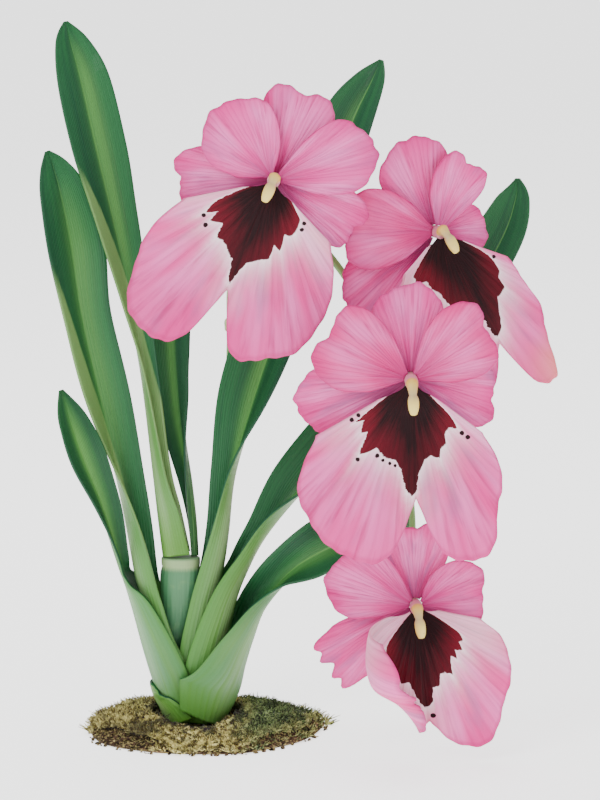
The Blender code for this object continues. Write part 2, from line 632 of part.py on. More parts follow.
def lip(name, bloom, group):
    """Broad two-lobed lip, notched at the bottom, spread in front of the lower tepals."""
    right, up, facing = axes(bloom)
    throat = Vector(bloom["throat"])
    shape = bloom["lip"]
    aim = math.radians(shape["aim"])
    seed = bloom["seed"]
    start = THROAT_RADIUS + CLEAR + 0.25

    def place(u, v):
        spread, lengths = shape["left" if u < 0.0 else "right"]
        t = 0.5 * (v + 1.0)
        size = abs(u) ** 1.25
        turn = math.copysign(math.radians(spread) * size * mix(0.80, 1.0, ease(t / 0.3)), u)
        edge = spline([(value,) for value in lengths], size)[0]
        edge *= 1.0 + t ** 4 * (0.014 * math.sin(11.0 * u + seed) + 0.010 * math.sin(23.0 * u + 2.0 * seed))
        away = start + (edge - start) * t
        a = away * math.cos(aim + turn)
        b = away * math.sin(aim + turn)
        c = 2.1 + 0.055 * away + swell(bloom, a, b)
        c += 1.5 * t * t * math.sin(5.2 * size + 0.8 + seed * 0.3) + 0.6 * t ** 4 * math.sin(13.0 * u + seed)
        c -= 2.2 * ease((t - 0.45) / 0.55) * (1.0 - ease(size / 0.22))
        if "rolled" in shape and u < 0.0:
            outward = Vector((math.sin(aim), -math.cos(aim)))
            sideways = a * outward.x + b * outward.y
            along = a * math.cos(aim) + b * math.sin(aim)
            reach = spline(ROLL, along / ROLL_REACH)[0]
            limit = 0.55 * reach
            radius = 0.45 * reach
            if sideways > limit:
                angle = min((sideways - limit) / radius, 3.6)
                shift = limit + radius * math.sin(angle) - sideways
                a += outward.x * shift
                b += outward.y * shift
                c += radius * (1.0 - math.cos(angle))
        return throat + right * a + up * b + facing * c

    return sheet(name, group, "lip", 18, 7, place, LIP_THICKNESS)


def column(name, bloom, group):
    """Pale column: a round throat behind, a bent neck, and a nodding cap in front of the lip."""
    right, up, facing = axes(bloom)
    throat = Vector(bloom["throat"])
    aim = math.radians(bloom["lip"]["aim"])
    down = right * math.cos(aim) + up * math.sin(aim)
    cross = facing.cross(down)
    rings = (
        (-6.0, 0.0, 1.4, 1.4), (-6.0, 0.0, 1.8, 1.8), (-3.0, 0.0, 2.2, 2.2), (2.6, 0.0, 2.3, 2.3),
        (4.2, -1.3, 2.1, 2.1), (5.8, -1.9, 2.0, 1.9), (7.2, 0.0, 1.5, 1.5), (8.0, 2.2, 1.9, 1.7),
        (8.3, 4.8, 1.8, 1.6), (8.3, 6.8, 1.2, 1.0), (8.2, 7.4, 0.6, 0.5),
    )
    bm = bmesh.new()
    count = len(rings) - 1
    bmesh.ops.create_uvsphere(bm, u_segments=12, v_segments=count, radius=1.0)
    for vert in bm.verts:
        tilt = math.acos(max(-1.0, min(1.0, -vert.co.z))) / math.pi
        step = min(count, round(tilt * count))
        front, drop, wide, deep = rings[step]
        turn = math.atan2(vert.co.y, vert.co.x)
        size = 0.0 if step in (0, count) else 1.0
        bow = ease((front - 2.0) / 6.0) * math.radians(80.0)
        away = facing * math.sin(bow) - down * math.cos(bow)
        point = throat + facing * front + down * (drop + bloom["nod"] * ease((front - 1.0) / 7.0))
        point += cross * (wide * size * math.cos(turn)) + away * (deep * size * math.sin(turn))
        vert.co = point * MM
    bmesh.ops.recalc_face_normals(bm, faces=bm.faces[:])
    return object_from(bm, name, group, "column")


def build():
    """Build the whole plant."""
    clear_scene()
    group = collection(COLLECTION)
    cutters = collection("cutters")
    mound(group, cutters)
    moss(group, cutters)
    bulb(group)
    for name in LEAVES:
        leaf(name, group, "sheath" if name == "basal_sheath" else "leaf")
    stalk(group, cutters)
    for name, bloom in BLOOMS.items():
        for part in ("dorsal_sepal", "left_sepal", "right_sepal"):
            tepal(name + "_" + part, part, bloom, -3.0, -0.045, group, "sepal")
        for part in ("left_petal", "right_petal"):
            tepal(name + "_" + part, part, bloom, -0.5, 0.02, group, "petal")
        lip(name + "_lip", bloom, group)
        column(name + "_column", bloom, group)


build()
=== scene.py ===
"""Pansy orchid in moss and soil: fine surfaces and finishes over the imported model.

Every length in the tables below is in millimetres, and the meshes are written in metres.
"""
import logging
import math
import random
from dataclasses import dataclass, field
from enum import Enum
from typing import Any, Callable, Sequence

import bmesh
import bpy
from mathutils import Matrix, Vector


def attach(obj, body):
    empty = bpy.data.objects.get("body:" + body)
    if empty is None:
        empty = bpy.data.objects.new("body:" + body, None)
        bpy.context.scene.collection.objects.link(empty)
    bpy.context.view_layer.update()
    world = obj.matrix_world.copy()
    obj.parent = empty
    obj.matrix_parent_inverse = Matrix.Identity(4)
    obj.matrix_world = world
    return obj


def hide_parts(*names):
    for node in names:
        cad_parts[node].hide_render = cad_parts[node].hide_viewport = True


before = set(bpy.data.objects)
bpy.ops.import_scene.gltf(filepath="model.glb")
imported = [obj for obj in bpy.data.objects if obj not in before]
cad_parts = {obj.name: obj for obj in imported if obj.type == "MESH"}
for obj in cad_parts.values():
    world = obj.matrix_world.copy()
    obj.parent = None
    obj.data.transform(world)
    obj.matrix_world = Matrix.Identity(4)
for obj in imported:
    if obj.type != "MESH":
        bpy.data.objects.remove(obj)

LOG = logging.getLogger("pansy_orchid")
MM = 0.001
CLEAR = 0.3
THROAT_RADIUS = 2.3
STEM_FOOT = 1.9
CLAW = math.radians(38.0)
# Gaps that the tepals and the lip keep from the column
TEPAL_GAP = 0.06
LIP_GAP = 0.10
# How far the column reaches behind the throat
COLUMN_BACK = 6.0
# Side of the flat square that a lip's markings are laid out on, and the farthest reach of its mask
PLANE_SIZE = 160.0
MASK_REACH = 60.0
# Share of the moss's grid that lies underneath the cushion
MOSS_UNDERSIDE = 0.34
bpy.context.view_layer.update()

Place = Callable[[float, float], Vector]
Row = Sequence[float]
Colour = tuple[float, float, float, float]


# Small mathematics

def srgb(red: float, green: float, blue: float) -> Colour:
    """Turn a colour of 0 to 255 as seen on a screen into a linear one.

    Args:
        red: red part.
        green: green part.
        blue: blue part.

    Returns:
        The linear colour with full alpha.
    """
    parts = []
    for value in (red, green, blue):
        share = value / 255.0
        parts.append(share / 12.92 if share <= 0.04045 else ((share + 0.055) / 1.055) ** 2.4)
    return parts[0], parts[1], parts[2], 1.0


def mix(a: float, b: float, t: float) -> float:
    """Blend two numbers."""
    return a + (b - a) * t


def ease(t: float) -> float:
    """Smooth step from 0 to 1."""
    t = min(1.0, max(0.0, t))
    return t * t * (3.0 - 2.0 * t)


def spline(rows: Sequence[Row], t: float) -> list[float]:
    """Smooth value of a table of rows (Catmull-Rom).

    Args:
        rows: the table, one row for each station.
        t: place along the table, from 0 to 1.

    Returns:
        The row at that place.
    """
    last = len(rows) - 1
    place = min(max(t, 0.0), 1.0) * last
    i = min(int(place), last - 1)
    f = place - i
    result = []
    for p0, p1, p2, p3 in zip(rows[max(i - 1, 0)], rows[i], rows[i + 1], rows[min(i + 2, last)]):
        b = p2 - p0
        c = 2.0 * p0 - 5.0 * p1 + 4.0 * p2 - p3
        d = 3.0 * p1 - p0 - 3.0 * p2 + p3
        result.append(0.5 * (2.0 * p1 + b * f + c * f * f + d * f * f * f))
    return result


# Shader building

class Number:
    """A number in a material, which adds its Math nodes when it is used in an expression."""

    def __init__(self, board: "Board", source: Any) -> None:
        """Keep the board and the socket or plain number."""
        self.board = board
        self.source = source

    def _math(self, operation: str, *others: Any) -> "Number":
        """Add one Math node.

        Args:
            operation: the node's operation.
            others: its further inputs.

        Returns:
            The node's result.
        """
        inputs = dict(enumerate((self, *others)))
        node = self.board.node("ShaderNodeMath", {"operation": operation}, inputs)
        return Number(self.board, node.outputs[0])

    def _wrap(self, other: Any) -> "Number":
        """Wrap a plain number."""
        return other if isinstance(other, Number) else Number(self.board, other)

    def __add__(self, other: Any) -> "Number":
        """Sum."""
        return self._math("ADD", other)

    __radd__ = __add__

    def __sub__(self, other: Any) -> "Number":
        """Difference."""
        return self._math("SUBTRACT", other)

    def __rsub__(self, other: Any) -> "Number":
        """Reflected difference."""
        return self._wrap(other)._math("SUBTRACT", self)

    def __mul__(self, other: Any) -> "Number":
        """Product."""
        return self._math("MULTIPLY", other)

    __rmul__ = __mul__

    def __truediv__(self, other: Any) -> "Number":
        """Quotient."""
        return self._math("DIVIDE", other)

    def __rtruediv__(self, other: Any) -> "Number":
        """Reflected quotient."""
        return self._wrap(other)._math("DIVIDE", self)

    def __pow__(self, other: Any) -> "Number":
        """Power."""
        return self._math("POWER", other)

    def __neg__(self) -> "Number":
        """Negative."""
        return self._math("MULTIPLY", -1.0)

    def __abs__(self) -> "Number":
        """Absolute value."""
        return self._math("ABSOLUTE")

    def root(self) -> "Number":
        """Square root."""
        return self._math("SQRT")

    def exp(self) -> "Number":
        """Exponential."""
        return self._math("EXPONENT")

    def sine(self) -> "Number":
        """Sine of radians."""
        return self._math("SINE")

    def bearing(self, other: Any) -> "Number":
        """Angle of self over other, in radians."""
        return self._math("ARCTAN2", other)

    def low(self, other: Any) -> "Number":
        """Smaller of two."""
        return self._math("MINIMUM", other)

    def high(self, other: Any) -> "Number":
        """Larger of two."""
        return self._math("MAXIMUM", other)

    def step(self, start: Any, end: Any) -> "Number":
        """Smooth step between two limits.

        Args:
            start: value that gives 0.
            end: value that gives 1.

        Returns:
            The eased share.
        """
        node = self.board.node(
            "ShaderNodeMapRange", {"interpolation_type": "SMOOTHSTEP"},
            {"Value": self, "From Min": start, "From Max": end, "To Min": 0.0, "To Max": 1.0})
        return Number(self.board, node.outputs["Result"])


class Board:
    """The node board of one material."""

    def __init__(self, name: str) -> None:
        """Start a material with one Principled shader."""
        self.material = bpy.data.materials.new(name)
        self.material.use_nodes = True
        self.tree = self.material.node_tree
        self.shader = self.tree.nodes["Principled BSDF"]

    def link(self, target: Any, value: Any) -> None:
        """Give a socket a value or a link.

        Args:
            target: the input socket.
            value: a Number, an output socket or a constant.
        """
        source = value.source if isinstance(value, Number) else value
        if isinstance(source, bpy.types.NodeSocket):
            self.tree.links.new(source, target)
        else:
            target.default_value = source

    def node(self, kind: str, settings: dict[str, Any] | None = None,
             inputs: dict[Any, Any] | None = None) -> bpy.types.Node:
        """Add any node.

        Args:
            kind: the node's type.
            settings: its properties, set first; stops holds a ramp's places and colours.
            inputs: its sockets' values or links, by name or number.

        Returns:
            The node.
        """
        made = self.tree.nodes.new(kind)
        for key, value in (settings or {}).items():
            if key == "stops":
                elements = made.color_ramp.elements
                for element, (place, colour) in zip(elements, (value[0], value[-1])):
                    element.position = place
                    element.color = colour
                for place, colour in value[1:-1]:
                    elements.new(place).color = colour
            else:
                setattr(made, key, value)
        for key, value in (inputs or {}).items():
            self.link(made.inputs[key], value)
        return made

    def map(self, name: str) -> tuple[Number, Number]:
        """Read one of the piece's own UV maps.

        Args:
            name: the map's name.

        Returns:
            Its two numbers.
        """
        uv = self.node("ShaderNodeUVMap", {"uv_map": name})
        parts = self.node("ShaderNodeSeparateXYZ", inputs={0: uv.outputs[0]})
        return Number(self, parts.outputs[0]), Number(self, parts.outputs[1])

    def spot(self) -> Any:
        """Read the point on the piece as a vector socket, in metres."""
        return self.node("ShaderNodeTexCoord").outputs["Object"]

    def place(self) -> tuple[Number, Number, Number]:
        """Read the point on the piece, in millimetres."""
        parts = self.node("ShaderNodeSeparateXYZ", inputs={0: self.spot()})
        return tuple(Number(self, parts.outputs[i]) * 1000.0 for i in range(3))

    def vector(self, x: Any, y: Any, z: Any = 0.0) -> Any:
        """Join three numbers to a vector socket."""
        return self.node("ShaderNodeCombineXYZ", inputs={0: x, 1: y, 2: z}).outputs[0]

    def noise(self, vector: Any, scale: float, detail: float = 2.0, rough: float = 0.5) -> Number:
        """Soft noise from 0 to 1 at a vector.

        Args:
            vector: where to read it.
            scale: cells for each unit.
            detail: octaves.
            rough: weight of the finer octaves.

        Returns:
            The noise value.
        """
        made = self.node("ShaderNodeTexNoise", {"noise_dimensions": "3D"},
                         {"Vector": vector, "Scale": scale, "Detail": detail, "Roughness": rough})
        return Number(self, made.outputs[0])

    def blend(self, share: Any, first: Any, second: Any) -> Any:
        """Mix two colours.

        Args:
            share: 0 for the first, 1 for the second.
            first: colour or socket.
            second: colour or socket.

        Returns:
            The colour socket.
        """
        made = self.tree.nodes.new("ShaderNodeMix")
        made.data_type = "RGBA"
        made.clamp_factor = True
        self.link(made.inputs[0], share)
        self.link(made.inputs[6], first)
        self.link(made.inputs[7], second)
        return made.outputs[2]

    def bump(self, height: Number, distance: float, strength: float = 1.0) -> None:
        """Feed the shader's normal from a height.

        Args:
            height: the height field, about 0 to 1.
            distance: its depth in metres.
            strength: how much of it shows.
        """
        inputs = {"Strength": strength, "Distance": distance, "Height": height}
        made = self.node("ShaderNodeBump", inputs=inputs)
        self.link(self.shader.inputs["Normal"], made.outputs[0])

    def finish(self, colour: Any, roughness: Any, coat: float = 0.0, specular: float = 0.5,
               sheen: float = 0.0) -> bpy.types.Material:
        """Set the shader's main sockets.

        Args:
            colour: base colour.
            roughness: roughness value or field.
            coat: weight of a thin clear coat.
            specular: specular level.
            sheen: weight of soft sheen.

        Returns:
            The finished material.
        """
        self.link(self.shader.inputs["Base Color"], colour)
        self.link(self.shader.inputs["Roughness"], roughness)
        self.link(self.shader.inputs["Coat Weight"], coat)
        self.link(self.shader.inputs["Specular IOR Level"], specular)
        self.link(self.shader.inputs["Sheen Weight"], sheen)
        return self.material


# Finishes

@dataclass(frozen=True)
class TepalFinish:
    """Pink petal or sepal: painted light in soft pale bands, darker streaks that fan out from the claw, and
    painted shade toward the rim, in a thin line along it and in greyish patches, more near the claw.
    """

    name: str
    pale: Colour = srgb(243, 122, 192)
    rose: Colour = srgb(228, 58, 146)
    deep: Colour = srgb(178, 20, 100)
    shade: Colour = srgb(172, 100, 152)
    mauve_shade: float = 0.35
    light: float = 0.55
    seed: float = 0.0

    def make(self) -> bpy.types.Material:
        """Build the material.

        Returns:
            The finished material.
        """
        b = Board(self.name)
        x, y = b.map("Flat")
        fan = (x - 0.5) * 2.0
        fine = b.noise(b.vector(fan * 13.0, y * 1.8, self.seed), 1.0, 3.0, 0.6)
        broad = b.noise(b.vector(fan * 2.6, y * 1.0, self.seed + 7.0), 1.0, 2.0, 0.5)
        veins = abs((fan * 36.0 + fine * 5.0 + self.seed).sine()) ** 6.0
        edge = y.step(0.80, 1.0).high(abs(fan).step(0.70, 1.0) * 0.8)
        base = 1.0 - y.step(0.05, 0.50)
        lit = broad.step(0.40, 0.64) * self.light + y.step(0.25, 0.6) * (1.0 - y.step(0.70, 0.98)) * 0.25
        colour = b.blend(lit.low(1.0), self.rose, self.pale)
        # Painted shade: the colour deepens toward the rim and the sides.
        colour = b.blend(edge * 0.24, colour, self.deep)
        colour = b.blend(fine.step(0.50, 0.72) * 0.50 + veins * 0.16, colour, self.deep)
        colour = b.blend(base * 0.50 * (0.3 + fine), colour, self.deep)
        # Painted shade: greyish patches and a cast near the claw, in the shade colour.
        mauve_shade = b.noise(b.vector(fan * 3.2, y * 1.6, self.seed + 3.0), 1.0, 2.0, 0.5)
        colour = b.blend((mauve_shade.step(0.50, 0.72) * 0.8 + base * 0.35) * self.mauve_shade, colour, self.shade)
        # Painted shade: a thin deeper pink line along the rim, standing in for the shade where tepals
        # overlap.
        rim_shade_line = y.step(0.95, 0.99).high(abs(fan).step(0.92, 0.98))
        colour = b.blend(rim_shade_line * 0.35, colour, self.deep)
        grain = b.noise(b.spot(), 2600.0, 1.0)
        b.bump(veins * 0.55 + fine * 0.9 + grain * 0.25, 0.00022, 0.8)
        return b.finish(colour, 0.54 + grain * 0.16, specular=0.22)


@dataclass(frozen=True)
class LipFinish:
    """Pink lip that fades to white round a toothed maroon mask with loose dots.

    The outline gives the mask's reach in millimetres at bearings in degrees from the lip's middle.
    """

    name: str
    outline: tuple[tuple[float, float], ...] = ()
    seed: float = 0.0
    dots: tuple[tuple[float, float, float], ...] = ()
    tint: float = 0.0
    white: Colour = srgb(252, 234, 238)
    pale: Colour = srgb(243, 122, 192)
    rose: Colour = srgb(228, 56, 142)
    deep: Colour = srgb(178, 20, 98)
    shade: Colour = srgb(166, 92, 142)
    black: Colour = srgb(26, 0, 4)
    maroon: Colour = srgb(98, 4, 26)
    peach: Colour = srgb(236, 136, 122)

    def make(self) -> bpy.types.Material:
        """Build the material.

        Returns:
            The finished material.
        """
        b = Board(self.name)
        px, py = b.map("Plane")
        x = (px - 0.5) * PLANE_SIZE
        y = (py - 0.5) * PLANE_SIZE
        radius = (x * x + y * y).root()
        angle = x.bearing(y) * math.degrees(1.0)
        rough = b.noise(b.vector(x * 0.55, y * 0.55, self.seed), 1.0, 3.0, 0.6) - 0.5
        stops = []
        for turn, far in self.outline:
            share = far / MASK_REACH
            stops.append(((turn + 90.0) / 180.0, (share, share, share, 1.0)))
        ramp = b.node("ShaderNodeValToRGB", {"stops": stops}, {0: (angle + rough * 3.0 + 90.0) / 180.0})
        outline = Number(b, ramp.outputs[0]) * MASK_REACH + rough * 1.6
        gap = outline - radius
        mask = gap.step(-0.25, 0.25)

        fan = angle / 11.0
        fine = b.noise(b.vector(fan * 3.0, radius * 0.030, self.seed), 1.0, 3.0, 0.6)
        broad = b.noise(b.vector(fan * 0.85, radius * 0.02, self.seed + 5.0), 1.0, 2.0, 0.5)
        veins = abs((fan * 9.0 + fine * 4.0).sine()) ** 6.0
        rim = radius.step(44.0, 64.0)
        colour = b.blend((broad.step(0.36, 0.62) * 0.75 * (1.0 - rim * 0.6)).low(1.0), self.rose, self.pale)
        colour = b.blend(fine.step(0.48, 0.70) * (0.42 + rim * 0.25) + veins * 0.16, colour, self.deep)
        # Painted shade: greyish patches in the shade colour.
        mauve_shade = b.noise(b.vector(fan * 1.1, radius * 0.035, self.seed + 9.0), 1.0, 2.0, 0.5)
        colour = b.blend(mauve_shade.step(0.54, 0.74) * 0.55, colour, self.shade)
        near = (gap / 4.8).low(0.0).exp() * radius.step(4.0, 9.0)
        shoulder = abs(angle).step(34.0, 58.0) * (1.0 - radius.step(20.0, 46.0))
        middle = (-((angle / 10.0) ** 2.0)).exp() * (1.0 - radius.step(40.0, 56.0))
        white = near.high(shoulder * 0.50).high(middle * 0.25)
        colour = b.blend((white * (1.40 - fine * 1.0)).low(1.0), colour, self.white)
        _, outward = b.map("Flat")
        # Painted shade: a thin deeper pink line along the rim, standing in for the shade where parts
        # overlap.
        colour = b.blend(outward.step(0.955, 0.99) * 0.40, colour, self.deep)
        if self.tint:
            colour = b.blend(radius.step(48.0, 66.0) * angle.step(0.0, 14.0) * self.tint, colour, self.peach)

        rays = b.noise(b.vector(fan * 4.0, radius * 0.08, self.seed + 2.0), 1.0, 3.0, 0.6)
        heart = (radius / outline).step(0.45, 1.0) * (0.30 + abs(angle) / 60.0)
        dark = b.blend((heart + (rays - 0.5) * 0.8).low(1.0).high(0.0), self.black, self.maroon)
        colour = b.blend(mask, colour, dark)
        drops = None
        for turn, far, size in self.dots:
            spot_x = far * math.sin(math.radians(turn))
            spot_y = far * math.cos(math.radians(turn))
            offset = ((x - spot_x) ** 2.0 + (y - spot_y) ** 2.0).root() + rough * 0.8
            drop = 1.0 - offset.step(size * 0.82, size * 1.12)
            drops = drop if drops is None else drops.high(drop)
        if drops is not None:
            colour = b.blend(drops, colour, self.black)
        grain = b.noise(b.spot(), 2600.0, 1.0)
        b.bump(veins * 0.55 + fine * 1.0 + grain * 0.25, 0.00026, 0.8)
        return b.finish(colour, 0.56 + grain * 0.16, specular=0.18)


class Side(Enum):
    """Which face of a leaf a material is for."""

    UPPER = "upper"
    UNDER = "under"


@dataclass(frozen=True)
class LeafFinish:
    """Strap leaf: dark green upper side with a painted highlight band by its midrib and painted shade past
    it, paler underside and foot with a painted highlight down the middle of each half.

    The painted highlight band: place across, half width, start and end along, weight. wedge: side, start and
    end along, weight.
    """

    name: str
    side: Side = Side.UPPER
    base: Colour = srgb(88, 144, 44)
    sheath: Colour = srgb(78, 140, 86)
    pale: Colour = srgb(126, 168, 94)
    blade: Colour = srgb(26, 98, 50)
    dark: Colour = srgb(3, 60, 38)
    light: Colour = srgb(88, 150, 66)
    rise: tuple[float, float] = (0.30, 0.60)
    lane: Row = (0.22, 0.20, 0.35, 0.92, 0.6)
    wedge: Row = (1.0, 0.3, 0.6, 0.0)
    rib: float = 0.35
    seed: float = 0.0

    def make(self) -> bpy.types.Material:
        """Build the material.

        Returns:
            The finished material.
        """
        b = Board(f"{self.name}_{self.side.value}")
        x, y = b.map("Flat")
        across = (x - 0.5) * 2.0
        wide = b.noise(b.vector(across * 2.2, y * 2.0, self.seed), 1.0, 3.0, 0.55)
        lines = b.noise(b.vector(across * 26.0, y * 2.4, self.seed + 4.0), 1.0, 2.0, 0.6)
        cells = b.noise(b.vector(across * 90.0, y * 150.0, self.seed + 8.0), 1.0, 2.0, 0.6)
        veins = abs((across * 46.0).sine()) ** 5.0
        start, end = self.rise
        centre, half, first, last, weight = self.lane
        along = (y + (wide - 0.5) * 0.1).step(first - 0.12, first + 0.12) * (1.0 - y.step(last - 0.2, last))
        # Painted highlight: a light band next to the midrib on the upper side.
        lane = (-(((across - centre) / half) ** 2.0)).exp() * along * weight
        if self.side is Side.UPPER:
            deep = (wide.step(0.40, 0.66) * 0.55 + lines.step(0.4, 0.7) * 0.35).low(1.0)
            colour = b.blend(deep, self.blade, self.dark)
            colour = b.blend(lane * (0.5 + lines * 0.9), colour, self.light)
            # Painted shade: the blade darkens past the highlight band, toward lower across.
            shade_past_highlight = across.step(centre - half * 0.2, centre - half * 1.2) * along
            colour = b.blend(shade_past_highlight * 0.45, colour, self.dark)
            hand, low, high, amount = self.wedge
            if amount:
                limit = ((y + (lines - 0.5) * 0.03) - low) / (high - low) * 2.0 - 1.0
                inside = (across * hand - limit).step(-0.06, 0.06)
                colour = b.blend(inside * (1.0 - y.step(high - 0.06, high)) * amount, colour, self.pale)
        else:
            grown = (y + (wide - 0.5) * 0.16 + (lines - 0.5) * 0.1).step(start, end)
            # Painted highlight: a pale band down the middle of each half of the sheath and foot.
            sheath_highlight = (-(((abs(across) - 0.5) / 0.22) ** 2.0)).exp()
            highlight_colour = b.blend(0.5, self.sheath, srgb(206, 222, 190))
            soft = b.blend(sheath_highlight * (0.2 + lines * 0.6), self.sheath, highlight_colour)
            soft = b.blend(lines.step(0.42, 0.66) * 0.55, soft, self.base)
            soft = b.blend(abs(across).step(0.62, 0.95) * 0.5, soft, self.light)
            soft = b.blend(wide.step(0.48, 0.66) * 0.35, soft, self.pale)
            colour = b.blend((1.0 - y.step(0.02, 0.16)) * 0.75, soft, self.base)
            green = b.blend(lines.step(0.40, 0.66) * 0.5, self.blade, b.blend(0.5, self.light, self.pale))
            colour = b.blend(grown, colour, green)
            # Painted shade: darker away from that highlight, toward the keel and the free edge.
            colour = b.blend((1.0 - sheath_highlight) * 0.20 * (0.4 + wide), colour, self.dark)
        colour = b.blend(lines.step(0.56, 0.80) * 0.20, colour, self.light)
        colour = b.blend(cells.step(0.52, 0.75) * 0.12, colour, self.dark)
        rib = (-((across / 0.030) ** 2.0)).exp()
        shown = y.step(start * 0.7, end) * (1.0 - y.step(0.90, 1.0))
        colour = b.blend(rib * shown * self.rib, colour, self.light)
        b.bump(veins * 0.5 + lines * 0.7 + cells * 0.25, 0.00020, 0.7)
        return b.finish(colour, 0.42 + cells * 0.18, coat=0.05, specular=0.32)


@dataclass(frozen=True)
class BulbFinish:
    """Blue-green bulb with fine upright ribs, painted shade on its sides and back, and a pale fibrous ring
    at its top.
    """

    name: str = "bulb_skin"

    def make(self) -> bpy.types.Material:
        """Build the material.

        Returns:
            The finished material.
        """
        b = Board(self.name)
        x, y, z = b.place()
        around = y.bearing(x + 8.4)
        ribs = b.noise(b.vector(around * 16.0, z * 0.05), 1.0, 3.0, 0.6)
        mottled = b.noise(b.vector(x, y, z), 0.35, 3.0)
        # Painted shade: darker on the sides and back, turned away from the front.
        edge = abs(around + 1.5708).step(0.5, 1.3)
        colour = b.blend(z.step(24.0, 60.0), srgb(48, 100, 64), srgb(76, 132, 88))
        colour = b.blend(ribs.step(0.45, 0.75) * 0.40, colour, srgb(34, 84, 54))
        colour = b.blend(mottled.step(0.5, 0.75) * 0.22, colour, srgb(120, 164, 96))
        colour = b.blend(edge * 0.45, colour, srgb(34, 88, 58))
        ring = (z + ribs * 3.0).step(61.0, 63.4) * (1.0 - z.step(63.8, 64.7) * 0.6)
        colour = b.blend(ring * 0.8, colour, srgb(158, 184, 128))
        b.bump(ribs * 0.8 + mottled * 0.2, 0.0003, 0.6)
        return b.finish(colour, 0.46 + ribs * 0.12, coat=0.06, specular=0.4)


@dataclass(frozen=True)
class StemFinish:
    """Green stem, paler and flushed with cream toward the blooms."""

    name: str
    low: Colour = srgb(88, 146, 70)
    high: Colour = srgb(120, 170, 92)
    flush: Colour = srgb(226, 214, 176)

    def make(self) -> bpy.types.Material:
        """Build the material.

        Returns:
            The finished material.
        """
        b = Board(self.name)
        x, y, z = b.place()
        streak = b.noise(b.vector(x * 0.9, y * 0.9, z * 0.12), 1.0, 3.0, 0.6)
        fleck = b.noise(b.vector(x, y, z), 2.4, 2.0)
        colour = b.blend(z.step(10.0, 150.0), self.low, self.high)
        colour = b.blend(streak.step(0.5, 0.72) * 0.4, colour, srgb(60, 120, 58))
        colour = b.blend((-y).step(22.0, 46.0) * 0.75, colour, self.flush)
        colour = b.blend(fleck.step(0.62, 0.72) * 0.25, colour, srgb(150, 96, 96))
        b.bump(streak * 0.7 + fleck * 0.3, 0.00018, 0.6)
        return b.finish(colour, 0.44 + streak * 0.12, coat=0.05, specular=0.4)


@dataclass(frozen=True)
class ColumnFinish:
    """Waxy pale yellow column, with grey painted shade in the groove at its narrow neck, creamy at its cap.
    """

    name: str = "column_wax"

    def make(self) -> bpy.types.Material:
        """Build the material.

        Returns:
            The finished material.
        """
        b = Board(self.name)
        x, y = b.map("Flat")
        spot = b.spot()
        soft = b.noise(spot, 420.0, 3.0)
        fleck = b.noise(spot, 1500.0, 2.0)
        # Painted shade: grey in the groove at the column's narrow neck.
        waist_shade = (-(((y - 0.62) / 0.09) ** 2.0)).exp()
        colour = b.blend(y.step(0.30, 0.85), srgb(220, 174, 62), srgb(236, 210, 108))
        colour = b.blend(waist_shade * 0.65, colour, srgb(160, 140, 124))
        foot = 1.0 - y.step(0.34, 0.46)
        colour = b.blend(foot * 0.85, colour, srgb(214, 132, 170))
        under = (-(((x - 0.25) / 0.13) ** 2.0)).exp()
        colour = b.blend(under * foot * 0.85, colour, srgb(104, 14, 44))
        colour = b.blend(soft.step(0.52, 0.74) * 0.35, colour, srgb(206, 180, 98))
        colour = b.blend(fleck.step(0.66, 0.74) * 0.3, colour, srgb(150, 110, 80))
        b.bump(soft * 0.6 + fleck * 0.3, 0.00018, 0.6)
        return b.finish(colour, 0.40 + soft * 0.14, coat=0.10, specular=0.45)


@dataclass(frozen=True)
class SoilFinish:
    """Crumbly dark soil with straw bits and damp patches."""

    name: str = "soil_crumb"

    def make(self) -> bpy.types.Material:
        """Build the material.

        Returns:
            The finished material.
        """
        b = Board(self.name)
        x, y, z = b.place()
        spot = b.vector(x, y, z)
        lumps = b.noise(spot, 0.55, 4.0, 0.65)
        grit = b.noise(spot, 2.6, 3.0, 0.6)
        patch = b.noise(b.vector(x, y, 3.0), 0.11, 2.0)
        straw = b.noise(b.vector(x, y, z), 0.9, 3.0, 0.7)
        colour = b.blend(lumps.step(0.38, 0.64), srgb(26, 18, 17), srgb(104, 78, 62))
        colour = b.blend(grit.step(0.52, 0.7) * 0.5, colour, srgb(110, 82, 60))
        colour = b.blend(patch.step(0.50, 0.62) * 0.4, colour, srgb(20, 22, 18))
        colour = b.blend(straw.step(0.50, 0.62) * 0.75, colour, srgb(208, 190, 124))
        b.bump(lumps * 1.0 + grit * 0.5, 0.0012, 1.0)
        return b.finish(colour, 0.92 + grit * 0.06, specular=0.2)


